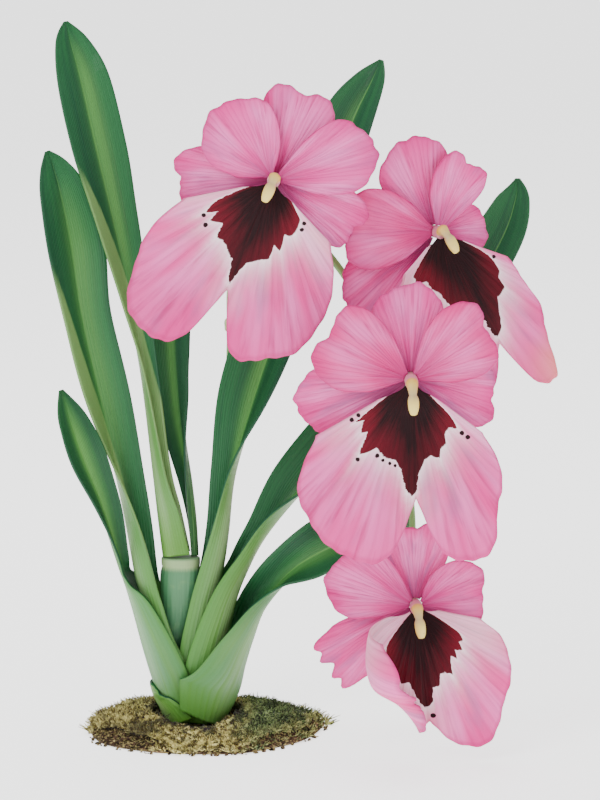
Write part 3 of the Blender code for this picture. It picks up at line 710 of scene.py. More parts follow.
@dataclass(frozen=True)
class MossFinish:
    """Cushion moss: straw at the rim and in patches, sage and dark green between, with painted shade in the
    gaps between tufts, in dark patches and round the plant's foot.
    """

    name: str
    lift: float = 0.0

    def make(self) -> bpy.types.Material:
        """Build the material.

        Returns:
            The finished material.
        """
        b = Board(self.name)
        x, y, z = b.place()
        patch = b.noise(b.vector(x, y, 11.0), 0.13, 3.0, 0.6)
        tuft = b.noise(b.vector(x, y, z), 0.40, 3.0, 0.65)
        speck = b.noise(b.vector(x, y, z), 1.7, 2.0, 0.6)
        reach = ((x / 43.5) ** 2.0 + (y / 37.0) ** 2.0).root()
        right = x.step(6.0, 22.0)
        left = 1.0 - x.step(-30.0, -12.0)
        straw = b.blend(tuft.step(0.44, 0.56), srgb(158, 142, 58), srgb(248, 238, 156))
        sage = b.blend(speck.step(0.42, 0.58), srgb(40, 66, 32), srgb(156, 184, 118))
        green = right * 0.95 + patch.step(0.46, 0.60) * 0.5 - left * 0.2 - reach.step(0.70, 0.95) * 0.45
        colour = b.blend(green.high(0.0).low(0.95), straw, sage)
        # Painted shade: the gaps between tufts, dark patches inside the rim and the left side go toward the
        # shade colour, less of it on the strands.
        shade = b.blend(right, srgb(44, 26, 30), srgb(10, 18, 10))
        dark = (patch.step(0.48, 0.58) * (1.0 - reach.step(0.80, 1.0)) + left * 0.3).low(1.0)
        hollow_shade = 1.0 - (tuft * 0.65 + speck * 0.35).step(0.455, 0.525)
        colour = b.blend((dark * (0.25 + tuft) + hollow_shade * 0.9).low(1.0) * (1.0 - self.lift), colour, shade)
        # Painted shade: a dark ring round the hole where the plant's foot stands.
        near = 1.0 - ((((x + 3.0) / 16.6) ** 2.0 + (y / 13.5) ** 2.0).root()).step(0.98, 1.20)
        colour = b.blend(near * 0.85, colour, srgb(12, 16, 12))
        b.bump(tuft * 1.0 + speck * 0.6, 0.0011, 1.0)
        return b.finish(colour, 0.93, specular=0.15, sheen=0.15)


@dataclass(frozen=True)
class FloorFinish:
    """Plain pale floor."""

    name: str = "pale_floor"

    def make(self) -> bpy.types.Material:
        """Build the material.

        Returns:
            The finished material.
        """
        b = Board(self.name)
        b.link(b.shader.inputs["Emission Color"], (1.0, 1.0, 1.0, 1.0))
        b.link(b.shader.inputs["Emission Strength"], 1.6)
        return b.finish((0.92, 0.92, 0.92, 1.0), 0.9, specular=0.1)


# Mesh helpers

def piece(bm: bmesh.types.BMesh, name: str, materials: Sequence[bpy.types.Material],
          stands_for: Sequence[str] = (), smooth: bool = True) -> bpy.types.Object:
    """Make a finished piece that rides on the plant.

    Args:
        bm: its shape, in metres.
        name: its name.
        materials: its materials, the first one for its outer faces.
        stands_for: CAD nodes that it replaces.
        smooth: shade it smooth.

    Returns:
        The object.
    """
    mesh = bpy.data.meshes.new(name)
    bm.to_mesh(mesh)
    bm.free()
    made = bpy.data.objects.new(name, mesh)
    bpy.context.scene.collection.objects.link(made)
    for material in materials:
        mesh.materials.append(material)
    if smooth:
        mesh.shade_smooth()
    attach(made, "root")
    if stands_for:
        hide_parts(*stands_for)
    return made


def bent_grid(across: int, along: int, place: Place, plane: Place | None = None,
              toward: Vector | None = None) -> bmesh.types.BMesh:
    """Bend a flat grid and keep its flat coordinates in UV maps.

    Args:
        across: faces across.
        along: faces along.
        place: gives the point in millimetres for u and v from -1 to 1.
        plane: gives a second pair of flat coordinates, if the finish needs one.
        toward: direction that the first face should look in.

    Returns:
        The bent sheet, in metres.
    """
    bm = bmesh.new()
    bmesh.ops.create_grid(bm, x_segments=across, y_segments=along, size=1.0)
    flat = bm.loops.layers.uv.new("Flat")
    second = bm.loops.layers.uv.new("Plane") if plane else None
    bm.verts.ensure_lookup_table()
    spots = [(vert.co.x, vert.co.y) for vert in bm.verts]
    for face in bm.faces:
        for loop in face.loops:
            u, v = spots[loop.vert.index]
            loop[flat].uv = (0.5 + 0.5 * u, 0.5 + 0.5 * v)
            if second and plane:
                loop[second].uv = plane(u, v)[:2]
    for vert in bm.verts:
        vert.co = place(vert.co.x, vert.co.y) * MM
    if toward is not None:
        total = Vector()
        for face in bm.faces:
            face.normal_update()
            total += face.normal * face.calc_area()
        if total.dot(toward) < 0.0:
            bmesh.ops.reverse_faces(bm, faces=bm.faces[:])
    return bm


def thicken(made: bpy.types.Object, thickness: float, two_sided: bool = False) -> None:
    """Give an open sheet its thickness.

    Args:
        made: the sheet.
        thickness: in millimetres.
        two_sided: give the back the second material.
    """
    solid = made.modifiers.new("Thickness", "SOLIDIFY")
    solid.thickness = thickness * MM
    solid.offset = 0.0
    if two_sided:
        solid.material_offset = 1


def tube(points: Sequence[Vector], radii: Sequence[float], sides: int = 20) -> bmesh.types.BMesh:
    """Round stem along a route, as one closed mesh.

    Args:
        points: the route, in millimetres.
        radii: its radius at each point.
        sides: faces round it.

    Returns:
        The mesh, in metres.
    """
    bm = bmesh.new()
    bmesh.ops.create_cone(bm, cap_ends=True, segments=sides, radius1=1.0, radius2=1.0, depth=2.0)
    sides_only = [edge for edge in bm.edges if abs(edge.verts[0].co.z - edge.verts[1].co.z) > 1.0]
    bmesh.ops.subdivide_edges(bm, edges=sides_only, cuts=len(points) - 2, use_grid_fill=True)
    last = len(points) - 1
    normal = Vector((1.0, 0.0, 0.0))
    frames = []
    for i in range(last + 1):
        run = (points[min(i + 1, last)] - points[max(i - 1, 0)]).normalized()
        normal = (normal - run * normal.dot(run)).normalized()
        frames.append((points[i], normal.copy(), run.cross(normal)))
    for vert in bm.verts:
        step = round((vert.co.z + 1.0) * 0.5 * last)
        middle, first, second = frames[step]
        vert.co = (middle + first * (vert.co.x * radii[step]) + second * (vert.co.y * radii[step])) * MM
    bmesh.ops.recalc_face_normals(bm, faces=bm.faces[:])
    return bm


# Leaves

@dataclass
class Leaf:
    """One leaf: a foot that clasps what stands inside it, and a blade that opens toward the tip."""

    name: str
    side: float
    stations: tuple[Row, ...]
    upper: LeafFinish
    under: LeafFinish
    slot: str = "leaf"
    rows: int = 110
    thickness: float = 0.8

    @staticmethod
    def section(distance: float, fold: float, rounding: float) -> tuple[float, float]:
        """Sideways and inward run of one half, at a distance from the keel.

        Args:
            distance: along the half, in millimetres.
            fold: how far the half is folded up, in radians.
            rounding: radius of the keel.

        Returns:
            The sideways and the inward run.
        """
        turn = rounding * fold
        if distance <= turn:
            angle = distance / rounding
            return rounding * math.sin(angle), rounding * (1.0 - math.cos(angle))
        rest = distance - turn
        out = rounding * math.sin(fold) + rest * math.cos(fold)
        return out, rounding * (1.0 - math.cos(fold)) + rest * math.sin(fold)

    def point(self, u: float, v: float) -> Vector:
        """Find a point on the leaf.

        Args:
            u: place across, from -1 to 1.
            v: place along, from -1 at the foot to 1 at the tip.

        Returns:
            The point, in millimetres.
        """
        t = 0.5 * (v + 1.0)
        x, y, z, width, turn, fold, rounding = spline(self.stations, t)
        ahead = spline(self.stations, min(t + 0.01, 1.0))
        behind = spline(self.stations, max(t - 0.01, 0.0))
        run = (Vector(ahead[:3]) - Vector(behind[:3])).normalized()
        inward = Vector((self.side, 0.0, 0.0))
        inward = (inward - run * inward.dot(run)).normalized()
        sideways = Vector((0.0, 1.0, 0.0))
        sideways -= run * sideways.dot(run)
        sideways = (sideways - inward * inward.dot(sideways)).normalized()
        angle = math.radians(turn)
        face = inward * math.cos(angle) - sideways * math.sin(angle)
        reach = sideways * math.cos(angle) + inward * math.sin(angle)
        size = abs(u)
        close = 0.38 * size + 0.62 * size * size
        share = close if fold > 70.0 else mix(close, size, ease((70.0 - fold) / 35.0))
        out, deep = self.section(share * max(width, 0.7), math.radians(max(fold, 4.0)), max(rounding, 0.8))
        phase = sum(ord(letter) for letter in self.name) % 7
        ripple = 0.0
        if t > 0.45:
            lift = ease((t - 0.45) / 0.2) * ease((1.0 - t) / 0.12)
            ripple = 0.55 * lift * size * size * math.sin(15.0 * t + phase + 2.1 * (u > 0.0))
            ripple += 0.16 * lift * size ** 4 * math.sin(47.0 * t + 2.0 * phase + 3.0 * (u > 0.0))
        grown = ease((t - 0.25) / 0.2) * ease((1.0 - t) / 0.1)
        groove = -0.22 * grown * math.exp(-(u / 0.06) ** 2)
        groove += 0.10 * grown * math.exp(-((size - 0.11) / 0.05) ** 2)
        spot = Vector((x, y, z)) + reach * math.copysign(out, u) + face * (deep + ripple + groove)
        spot.z = max(spot.z, self.stations[0][2])
        return spot

    def build(self) -> bpy.types.Object:
        """Build and dress the leaf.

        Returns:
            The leaf's piece.
        """
        middle = self.point(0.0, 0.2)
        inner = (self.point(0.5, 0.2) + self.point(-0.5, 0.2)) * 0.5 - middle
        bm = bent_grid(26, self.rows, self.point, toward=inner)
        skins = (self.upper.make(), self.under.make())
        made = piece(bm, f"{self.name}_blade", skins, (self.name,))
        thicken(made, self.thickness, two_sided=True)
        return made


def leaf_finishes(name: str, **values: Any) -> dict[str, LeafFinish]:
    """Both faces of a leaf from the same values.

    Args:
        name: the leaf's name.
        values: what differs from the usual finish.

    Returns:
        The upper and the under finish, by field name.
    """
    return {
        "upper": LeafFinish(name, Side.UPPER, **values),
        "under": LeafFinish(name, Side.UNDER, **values),
    }


@dataclass
class Foliage:
    """All the leaves and the sheath at the foot."""

    leaves: list[Leaf] = field(default_factory=list)

    def __post_init__(self) -> None:
        """Lay out the leaves, in millimetres and degrees: x, y, z, half width, turn, fold, rounding."""
        self.leaves = [
            Leaf("leaf_apical_tall", 1.0, (
                (-14.4, 0.0, 65.2, 11.4, 0, 90, 2.8),
                (-16.2, -0.2, 81.0, 9.6, 6, 88, 2.5),
                (-17.8, -0.8, 98.0, 6.8, 22, 80, 1.9),
                (-21.4, -2.5, 134.0, 6.0, 42, 62, 1.9),
                (-25.6, -2.5, 160.0, 6.8, 58, 40, 2.4),
                (-31.6, 1.0, 188.0, 9.3, 66, 30, 3.0),
                (-37.8, 6.0, 214.0, 11.2, 70, 26, 3.4),
                (-43.6, 11.0, 239.0, 10.2, 72, 22, 3.4),
                (-47.6, 14.5, 253.0, 6.2, 72, 18, 3.0),
                (-49.2, 16.0, 260.0, 0.8, 72, 12, 2.0),
            ), **leaf_finishes("leaf_apical_tall", rise=(0.50, 0.74), sheath=srgb(100, 150, 76),
                               lane=(0.16, 0.30, 0.46, 0.95, 0.7), wedge=(-1.0, 0.30, 0.66, 0.7), seed=1.0)),
            Leaf("leaf_apical_short", -1.0, (
                (-1.9, 0.8, 65.2, 3.0, 0, 90, 1.1),
                (-2.6, 2.2, 78.0, 3.6, 10, 84, 1.3),
                (-4.4, 4.6, 92.0, 4.8, 30, 66, 1.8),
                (-7.2, 7.0, 108.0, 6.6, 48, 46, 2.2),
                (-9.0, 10.0, 124.0, 8.0, 60, 34, 2.6),
                (-10.2, 13.0, 144.0, 8.8, 64, 28, 3.0),
                (-9.0, 15.5, 160.0, 6.4, 64, 22, 3.0),
                (-7.6, 17.0, 172.0, 0.8, 64, 16, 2.0),
            ), **leaf_finishes("leaf_apical_short", rise=(-0.2, 0.0), blade=srgb(8, 74, 32),
                               lane=(0.18, 0.24, 0.20, 1.1, 0.6), rib=0.2, seed=2.0)),
            Leaf("leaf_left_inner", 1.0, (
                (-9.6, 0.0, STEM_FOOT, 11.0, 0, 90, 3.9),
                (-13.6, 0.0, 16.0, 14.5, 0, 90, 6.2),
                (-18.6, 0.0, 33.0, 12.6, 0, 90, 7.2),
                (-22.0, 0.0, 48.0, 11.3, 0, 90, 7.2),
                (-25.0, 0.0, 60.0, 10.5, 6, 86, 5.4),
                (-29.4, 1.6, 88.0, 9.4, 36, 60, 2.8),
                (-36.6, -0.3, 122.0, 11.0, 54, 38, 3.0),
                (-43.2, -3.0, 154.0, 10.8, 60, 32, 3.4),
                (-46.6, -5.0, 180.0, 12.4, 64, 28, 3.8),
                (-50.4, -3.0, 199.0, 9.8, 66, 24, 3.4),
                (-53.2, -1.6, 209.0, 5.6, 66, 20, 3.0),
                (-55.3, -1.0, 214.6, 0.8, 66, 14, 2.0),
            ), **leaf_finishes("leaf_left_inner", rise=(0.50, 0.72), sheath=srgb(94, 148, 78),
                               lane=(0.12, 0.40, 0.46, 0.90, 0.6), wedge=(-1.0, 0.30, 0.72, 0.7), seed=3.0)),
            Leaf("leaf_right_upright", -1.0, (
                (0.4, 0.0, STEM_FOOT, 7.4, 0, 90, 2.4),
                (1.2, 0.0, 16.0, 11.0, 0, 90, 4.5),
                (2.0, 0.0, 28.0, 14.1, 0, 90, 5.9),
                (4.2, 0.0, 46.0, 12.6, 0, 90, 5.9),
                (7.2, 0.0, 60.0, 11.5, 0, 90, 5.6),
                (9.4, 0.0, 76.0, 9.4, 14, 78, 3.8),
                (11.6, 0.4, 97.0, 9.0, 36, 58, 3.0),
                (18.8, 2.5, 123.0, 13.8, 54, 36, 3.6),
                (28.6, 8.0, 152.0, 14.6, 60, 28, 4.0),
                (40.2, 16.0, 186.0, 14.4, 62, 26, 4.2),
                (54.2, 23.0, 221.0, 11.8, 62, 24, 4.0),
                (62.0, 27.5, 237.0, 7.0, 62, 20, 3.4),
                (65.8, 30.0, 245.0, 0.8, 62, 14, 2.0),
            ), **leaf_finishes("leaf_right_upright", rise=(0.48, 0.66), sheath=srgb(100, 152, 78),
                               lane=(0.10, 0.20, 0.36, 0.95, 0.7), rib=0.8, seed=4.0)),
            Leaf("leaf_right_leaning", -1.0, (
                (3.2, 0.0, STEM_FOOT, 13.0, 0, 90, 5.3),
                (6.4, 0.0, 16.0, 18.5, 0, 90, 7.6),
                (8.4, 0.0, 30.0, 18.0, 0, 90, 8.5),
                (12.0, 0.0, 48.0, 14.5, 0, 90, 8.4),
                (16.4, 0.0, 60.0, 11.0, 2, 88, 7.0),
                (23.0, 0.0, 73.0, 9.0, 20, 70, 4.2),
                (36.4, 3.0, 90.0, 12.8, 46, 42, 3.4),
                (56.0, 9.0, 110.0, 14.8, 56, 32, 3.8),
                (78.0, 16.0, 133.0, 14.4, 60, 28, 4.0),
                (97.0, 23.0, 156.0, 11.6, 60, 26, 4.0),
                (110.8, 29.0, 179.0, 10.6, 60, 22, 3.6),
                (115.8, 32.0, 193.0, 7.0, 60, 18, 3.0),
                (116.6, 33.5, 201.0, 0.8, 60, 12, 2.0),
            ), **leaf_finishes("leaf_right_leaning", rise=(0.36, 0.60), sheath=srgb(84, 142, 58),
                               lane=(-0.20, 0.30, 0.26, 0.70, 0.7), rib=0.6, seed=5.0)),
            Leaf("leaf_left_outer", 1.0, (
                (-12.0, 0.0, STEM_FOOT, 14.0, 0, 90, 6.7),
                (-17.4, 0.0, 15.0, 19.0, 0, 90, 9.0),
                (-21.4, 0.0, 28.0, 18.5, 0, 90, 9.8),
                (-25.0, 0.0, 42.0, 15.0, 0, 90, 9.8),
                (-27.6, 0.0, 52.0, 10.6, 0, 90, 9.2),
                (-29.3, -1.2, 58.0, 4.8, 8, 84, 4.6),
                (-31.0, -3.6, 65.0, 4.6, 22, 70, 3.0),
                (-36.4, -8.6, 86.0, 6.6, 46, 44, 2.6),
                (-42.8, -11.4, 104.0, 8.6, 56, 34, 3.0),
                (-47.4, -11.4, 118.0, 6.6, 58, 28, 3.0),
                (-50.6, -11.0, 129.0, 0.8, 58, 16, 2.0),
            ), **leaf_finishes("leaf_left_outer", rise=(0.56, 0.70), blade=srgb(28, 92, 44),
                               lane=(0.04, 0.34, 0.52, 1.02, 0.9), seed=6.0)),
            Leaf("leaf_right_arching", -1.0, (
                (7.4, 0.0, STEM_FOOT, 23.6, 0, 90, 10.4),
                (13.0, 0.0, 14.0, 29.6, 0, 90, 12.3),
                (15.4, 0.0, 24.0, 22.5, 0, 90, 12.3),
                (18.4, 0.0, 34.0, 17.5, 0, 90, 11.4),
                (23.0, -0.4, 47.0, 11.5, 14, 78, 7.0),
                (31.4, -3.0, 59.0, 10.0, 36, 52, 4.0),
                (43.6, -6.0, 68.0, 11.8, 50, 34, 3.8),
                (60.0, -6.0, 74.0, 12.6, 54, 26, 4.0),
                (77.0, -4.0, 75.5, 10.6, 54, 22, 4.0),
                (88.0, -3.0, 74.0, 6.4, 52, 18, 3.4),
                (95.0, -2.5, 71.5, 0.8, 50, 12, 2.0),
            ), **leaf_finishes("leaf_right_arching", rise=(0.30, 0.56), sheath=srgb(86, 146, 88),
                               lane=(-0.10, 0.40, 0.30, 0.80, 0.5), rib=0.9, seed=7.0)),
            Leaf("basal_sheath", 1.0, (
                (-13.6, 0.0, STEM_FOOT, 15.0, 0, 90, 8.0),
                (-16.1, 0.0, 8.0, 13.5, 0, 90, 9.2),
                (-18.3, 0.0, 13.0, 9.5, 0, 90, 10.1),
                (-19.5, 0.0, 17.5, 3.0, 0, 90, 10.4),
            ), **leaf_finishes("basal_sheath", rise=(1.5, 1.8), sheath=srgb(104, 160, 50),
                               base=srgb(96, 152, 44), seed=8.0),
                slot="sheath", rows=40),
        ]

    def build(self) -> None:
        """Build every leaf in turn."""
        for leaf in self.leaves:
            made = leaf.build()
            LOG.info("leaf %s: %d faces before thickness", made.name, len(made.data.polygons))


# Bulb

@dataclass
class Bulb:
    """Flattened bulb with a blunt ring on top and a thin foot."""

    rings: tuple[Row, ...] = (
        (STEM_FOOT, 1.2, 1.0, -5.4), (STEM_FOOT, 1.3, 1.1, -5.4), (15.0, 1.4, 1.2, -7.6),
        (26.0, 2.2, 1.8, -10.2), (35.0, 4.6, 3.0, -10.4),
        (44.0, 6.4, 4.0, -9.2), (52.0, 7.2, 4.5, -8.6), (58.5, 7.35, 4.7, -8.2),
        (61.2, 6.9, 4.5, -8.1), (62.2, 7.1, 4.6, -8.1), (64.2, 7.1, 4.6, -8.1), (64.8, 6.7, 4.3, -8.1),
        (64.8, 5.6, 3.6, -8.1),
    )

    def build(self) -> bpy.types.Object:
        """Build and dress the bulb.

        Returns:
            The bulb's piece.
        """
        top = self.rings[-1][0]
        bm = bmesh.new()
        bmesh.ops.create_uvsphere(bm, u_segments=96, v_segments=84, radius=1.0)
        for vert in bm.verts:
            tilt = math.acos(max(-1.0, min(1.0, -vert.co.z))) / math.pi
            height, half_x, half_y, middle = spline(self.rings, tilt)
            turn = math.atan2(vert.co.y, vert.co.x)
            pole = tilt < 0.002 or tilt > 0.998
            rib = 1.0 + 0.010 * math.sin(22.0 * turn) * ease((height - 24.0) / 20.0) * (height < 61.0)
            size = 0.0 if pole else rib * min(1.0, min(tilt, 1.0 - tilt) * 40.0)
            vert.co = Vector((middle + half_x * size * math.cos(turn),
                              half_y * size * math.sin(turn), min(max(height, STEM_FOOT), top))) * MM
        return piece(bm, "bulb_body", (BulbFinish().make(),), ("pseudobulb",))


# Blooms

@dataclass(frozen=True)
class Tepal:
    """Direction in degrees, length and width of one petal or sepal, its sideways bend and edge ripple."""

    direction: float
    length: float
    width: float
    bend: float
    ripple: float


@dataclass(frozen=True)
class Lobe:
    """Spread of one half of a lip in degrees, and its lengths at nine even bearings from the notch out."""

    spread: float
    lengths: tuple[float, ...]


@dataclass(frozen=True)
class LipShape:
    """Aim of a lip in degrees and its two lobes; rolled curls the left one over to the front."""

    aim: float
    left: Lobe
    right: Lobe
    rolled: bool = False


# Share of a tepal's length at even bearings, from its middle to its side
TEPAL_RIM = ((0.97,), (1.0,), (0.99,), (0.955,), (0.87,), (0.70,), (0.42,))
# Half width of the rolled lobe at even steps along the lip, over ROLL_REACH
ROLL = ((16.5,), (19.5,), (20.8,), (19.0,), (10.5,), (5.5,), (3.5,))
ROLL_REACH = 50.0


class Layer(Enum):
    """Depth of a tepal in front of the throat, and its lean for each millimetre outward."""

    SEPAL = (-3.0, -0.045)
    PETAL = (-0.5, 0.02)


@dataclass
class Bloom:
    """One bloom: three sepals behind, two petals, a broad lip and the column."""

    name: str
    throat: tuple[float, float, float]
    yaw: float
    pitch: float
    seed: float
    nod: float
    stem: tuple[float, float, float]
    tepals: dict[str, Tepal]
    lip: LipShape
    lip_finish: LipFinish
    shades: dict[str, dict[str, Any]] = field(default_factory=dict)

    def axes(self) -> tuple[Vector, Vector, Vector]:
        """Directions of the bloom.

        Returns:
            Right, up and facing.
        """
        yaw = math.radians(self.yaw)
        pitch = math.radians(self.pitch)
        facing = Vector((math.sin(yaw) * math.cos(pitch), -math.cos(yaw) * math.cos(pitch), math.sin(pitch)))
        right = Vector((math.cos(yaw), math.sin(yaw), 0.0))
        return right, facing.cross(right), facing

    def swell(self, a: float, b: float) -> float:
        """Slow waves that every tepal of the bloom shares.

        Args:
            a: place to the right of the throat, in millimetres.
            b: place above the throat.

        Returns:
            How far the waves carry that place forward.
        """
        away = math.hypot(a, b)
        wave = 1.3 * math.sin(a / 8.5 + self.seed) + 1.1 * math.sin(b / 9.5 + 1.7 * self.seed)
        return (wave + 0.0016 * min(away, 36.0) ** 2) * ease(away / 16.0)

    def tepal(self, part: str, layer: Layer) -> bpy.types.Object:
        """Build and dress one petal or sepal.

        Args:
            part: its name within the bloom.
            layer: how deep it lies.

        Returns:
            The object.
        """
        right, up, facing = self.axes()
        throat = Vector(self.throat)
        size = self.tepals[part]
        aim = math.radians(size.direction)
        seed = self.seed + size.direction * 0.05
        start = THROAT_RADIUS + TEPAL_GAP
        spread = math.asin(0.5 * size.width / (0.79 * size.length)) / 0.75
        claw = min(CLAW, 1.6 * spread)
        ragged = 13.0 if size.ripple > 0.055 else 6.0
        depth, lean = layer.value

        def place(u: float, v: float) -> Vector:
            """Find a point on the tepal.

            Args:
                u: place across, from -1 to 1.
                v: place along, from -1 at the claw to 1 at the rim.

            Returns:
                The point, in millimetres.
            """
            t = 0.5 * (v + 1.0)
            turn = u * mix(claw, spread, ease(t / 0.45))
            wave = 0.7 * math.sin(4.5 * u + seed) + 0.5 * math.sin(ragged * 1.4 * u + seed)
            rim = spline(TEPAL_RIM, abs(u))[0] * (1.0 + t ** 4 * size.ripple * wave)
            rim *= 1.0 + 0.007 * t ** 8 * math.sin(29.0 * u + 3.0 * seed)
            away = start + (size.length * rim - start) * t
            along = away * math.cos(turn)
            far = along / size.length
            side = away * math.sin(turn) + size.bend * far * far
            q = 2.0 * side / size.width
            a = along * math.cos(aim) - side * math.sin(aim)
            b = along * math.sin(aim) + side * math.cos(aim)
            c = depth + lean * along + self.swell(a, b)
            c += 0.9 * far * far * (q * q - 0.3) + 0.35 * far * math.sin(6.0 * q + 3.0 * far + seed)
            c += ease(t / 0.2) * (0.10 * math.sin(13.0 * u + seed) + 0.05 * math.sin(31.0 * u + 2.0 * seed))
            c += 0.24 * t ** 6 * math.sin(11.0 * u + 2.0 * seed)
            c -= 0.20 * math.exp(-(u / 0.05) ** 2) * ease(t / 0.2)
            return throat + right * a + up * b + facing * c

        bm = bent_grid(40, 46, place, toward=facing)
        finish = TepalFinish(f"{self.name}_{part}", seed=seed, **self.shades.get(part, {}))
        made = piece(bm, f"{self.name}_{part}_blade", (finish.make(),), (f"{self.name}_{part}",))
        thicken(made, 0.7)
        return made

    def lip_sheet(self) -> bpy.types.Object:
        """Build and dress the two-lobed lip.

        Returns:
            The lip's piece.
        """
        right, up, facing = self.axes()
        throat = Vector(self.throat)
        shape = self.lip
        aim = math.radians(shape.aim)
        start = THROAT_RADIUS + LIP_GAP
        outward = Vector((math.sin(aim), -math.cos(aim)))

        def spread(u: float, v: float) -> tuple[float, float]:
            """Lay out a point on the flat lip.

            Args:
                u: place across, from -1 on the left lobe to 1 on the right one.
                v: place along, from -1 at the throat to 1 at the rim.

            Returns:
                Its bearing from the lip's middle and its distance from the throat.
            """
            lobe = shape.left if u < 0.0 else shape.right
            t = 0.5 * (v + 1.0)
            size = abs(u) ** 1.25
            angle = math.radians(lobe.spread) * size * mix(0.80, 1.0, ease(t / 0.3))
            edge = spline([(value,) for value in lobe.lengths], size)[0]
            wave = 0.014 * math.sin(11.0 * u + self.seed) + 0.010 * math.sin(23.0 * u + 2.0 * self.seed)
            edge *= 1.0 + t ** 4 * wave + 0.004 * t ** 8 * math.sin(71.0 * u + self.seed)
            return math.copysign(angle, u), start + (edge - start) * t

        def plane(u: float, v: float) -> Vector:
            """Flat coordinates for the markings."""
            turn, away = spread(u, v)
            share = away / PLANE_SIZE
            return Vector((0.5 + share * math.sin(turn), 0.5 + share * math.cos(turn), 0.0))

        def place(u: float, v: float) -> Vector:
            """Find a point on the lip.

            Args:
                u: place across, as for spread.
                v: place along, as for spread.

            Returns:
                The point, in millimetres.
            """
            turn, away = spread(u, v)
            t = 0.5 * (v + 1.0)
            size = abs(u) ** 1.25
            a = away * math.cos(aim + turn)
            b = away * math.sin(aim + turn)
            c = 2.1 + 0.055 * away + self.swell(a, b)
            c += 1.5 * t * t * math.sin(5.2 * size + 0.8 + self.seed * 0.3)
            c += 0.6 * t ** 4 * math.sin(13.0 * u + self.seed)
            c -= 2.2 * ease((t - 0.45) / 0.55) * (1.0 - ease(size / 0.22))
            c += 0.10 * ease(t / 0.3) * math.sin(40.0 * turn + self.seed)
            c += 0.20 * t ** 8 * math.sin(31.0 * u + self.seed)
            if shape.rolled and u < 0.0:
                sideways = a * outward.x + b * outward.y
                reach = spline(ROLL, (a * math.cos(aim) + b * math.sin(aim)) / ROLL_REACH)[0]
                radius = 0.45 * reach
                if sideways > 0.55 * reach:
                    angle = min((sideways - 0.55 * reach) / radius, 3.6)
                    shift = 0.55 * reach + radius * math.sin(angle) - sideways
                    a += outward.x * shift
                    b += outward.y * shift
                    c += radius * (1.0 - math.cos(angle))
            return throat + right * a + up * b + facing * c

        bm = bent_grid(110, 60, place, plane=plane)
        made = piece(bm, f"{self.name}_lip_blade", (self.lip_finish.make(),), (f"{self.name}_lip",))
        thicken(made, 0.8)
        return made

    def column(self) -> bpy.types.Object:
        """Build and dress the column with its nodding cap.

        Returns:
            The column's piece.
        """
        right, up, facing = self.axes()
        throat = Vector(self.throat)
        aim = math.radians(self.lip.aim)
        down = right * math.cos(aim) + up * math.sin(aim)
        cross = facing.cross(down)
        rings = (
            (-COLUMN_BACK, 0.0, 1.4, 1.4), (-COLUMN_BACK, 0.0, 1.8, 1.8),
            (-3.0, 0.0, 2.2, 2.2), (2.6, 0.0, 2.3, 2.3),
            (4.2, -1.3, 2.1, 2.1), (5.8, -1.9, 2.0, 1.9), (7.2, 0.0, 1.5, 1.5), (8.0, 2.2, 1.9, 1.7),
            (8.3, 4.8, 1.8, 1.6), (8.3, 6.8, 1.2, 1.0), (8.2, 7.4, 0.6, 0.5),
        )
        bm = bmesh.new()
        bmesh.ops.create_uvsphere(bm, u_segments=40, v_segments=48, radius=1.0)
        flat = bm.loops.layers.uv.new("Flat")
        shares = {}
        for vert in bm.verts:
            tilt = math.acos(max(-1.0, min(1.0, -vert.co.z))) / math.pi
            front, drop, wide, deep = spline(rings, tilt)
            turn = math.atan2(vert.co.y, vert.co.x)
            size = min(1.0, min(tilt, 1.0 - tilt) * 16.0) ** 0.5
            cap = 1.0 + 0.07 * math.sin(3.0 * turn + 0.5) * ease((tilt - 0.5) / 0.2)
            seam = 1.0 - 0.16 * math.exp(-((tilt - 0.62) / 0.02) ** 2)
            bow = ease((front - 2.0) / 6.0) * math.radians(80.0)
            away = facing * math.sin(bow) - down * math.cos(bow)
            spot = throat + facing * max(front, -COLUMN_BACK)
            spot += down * (drop + self.nod * ease((front - 1.0) / 7.0))
            spot += cross * (wide * size * cap * seam * math.cos(turn))
            spot += away * (deep * size * seam * math.sin(turn))
            shares[vert.index] = (turn / math.tau + 0.5, tilt)
            vert.co = spot * MM
        for face in bm.faces:
            for loop in face.loops:
                loop[flat].uv = shares[loop.vert.index]
        bmesh.ops.recalc_face_normals(bm, faces=bm.faces[:])
        skin = ColumnFinish(f"{self.name}_column_wax").make()
        return piece(bm, f"{self.name}_column_body", (skin,), (f"{self.name}_column",))

    def build(self) -> None:
        """Build and dress the whole bloom."""
        for part in ("dorsal_sepal", "left_sepal", "right_sepal"):
            self.tepal(part, Layer.SEPAL)
        for part in ("left_petal", "right_petal"):
            self.tepal(part, Layer.PETAL)
        self.lip_sheet()
        self.column()
        LOG.info("bloom %s built", self.name)


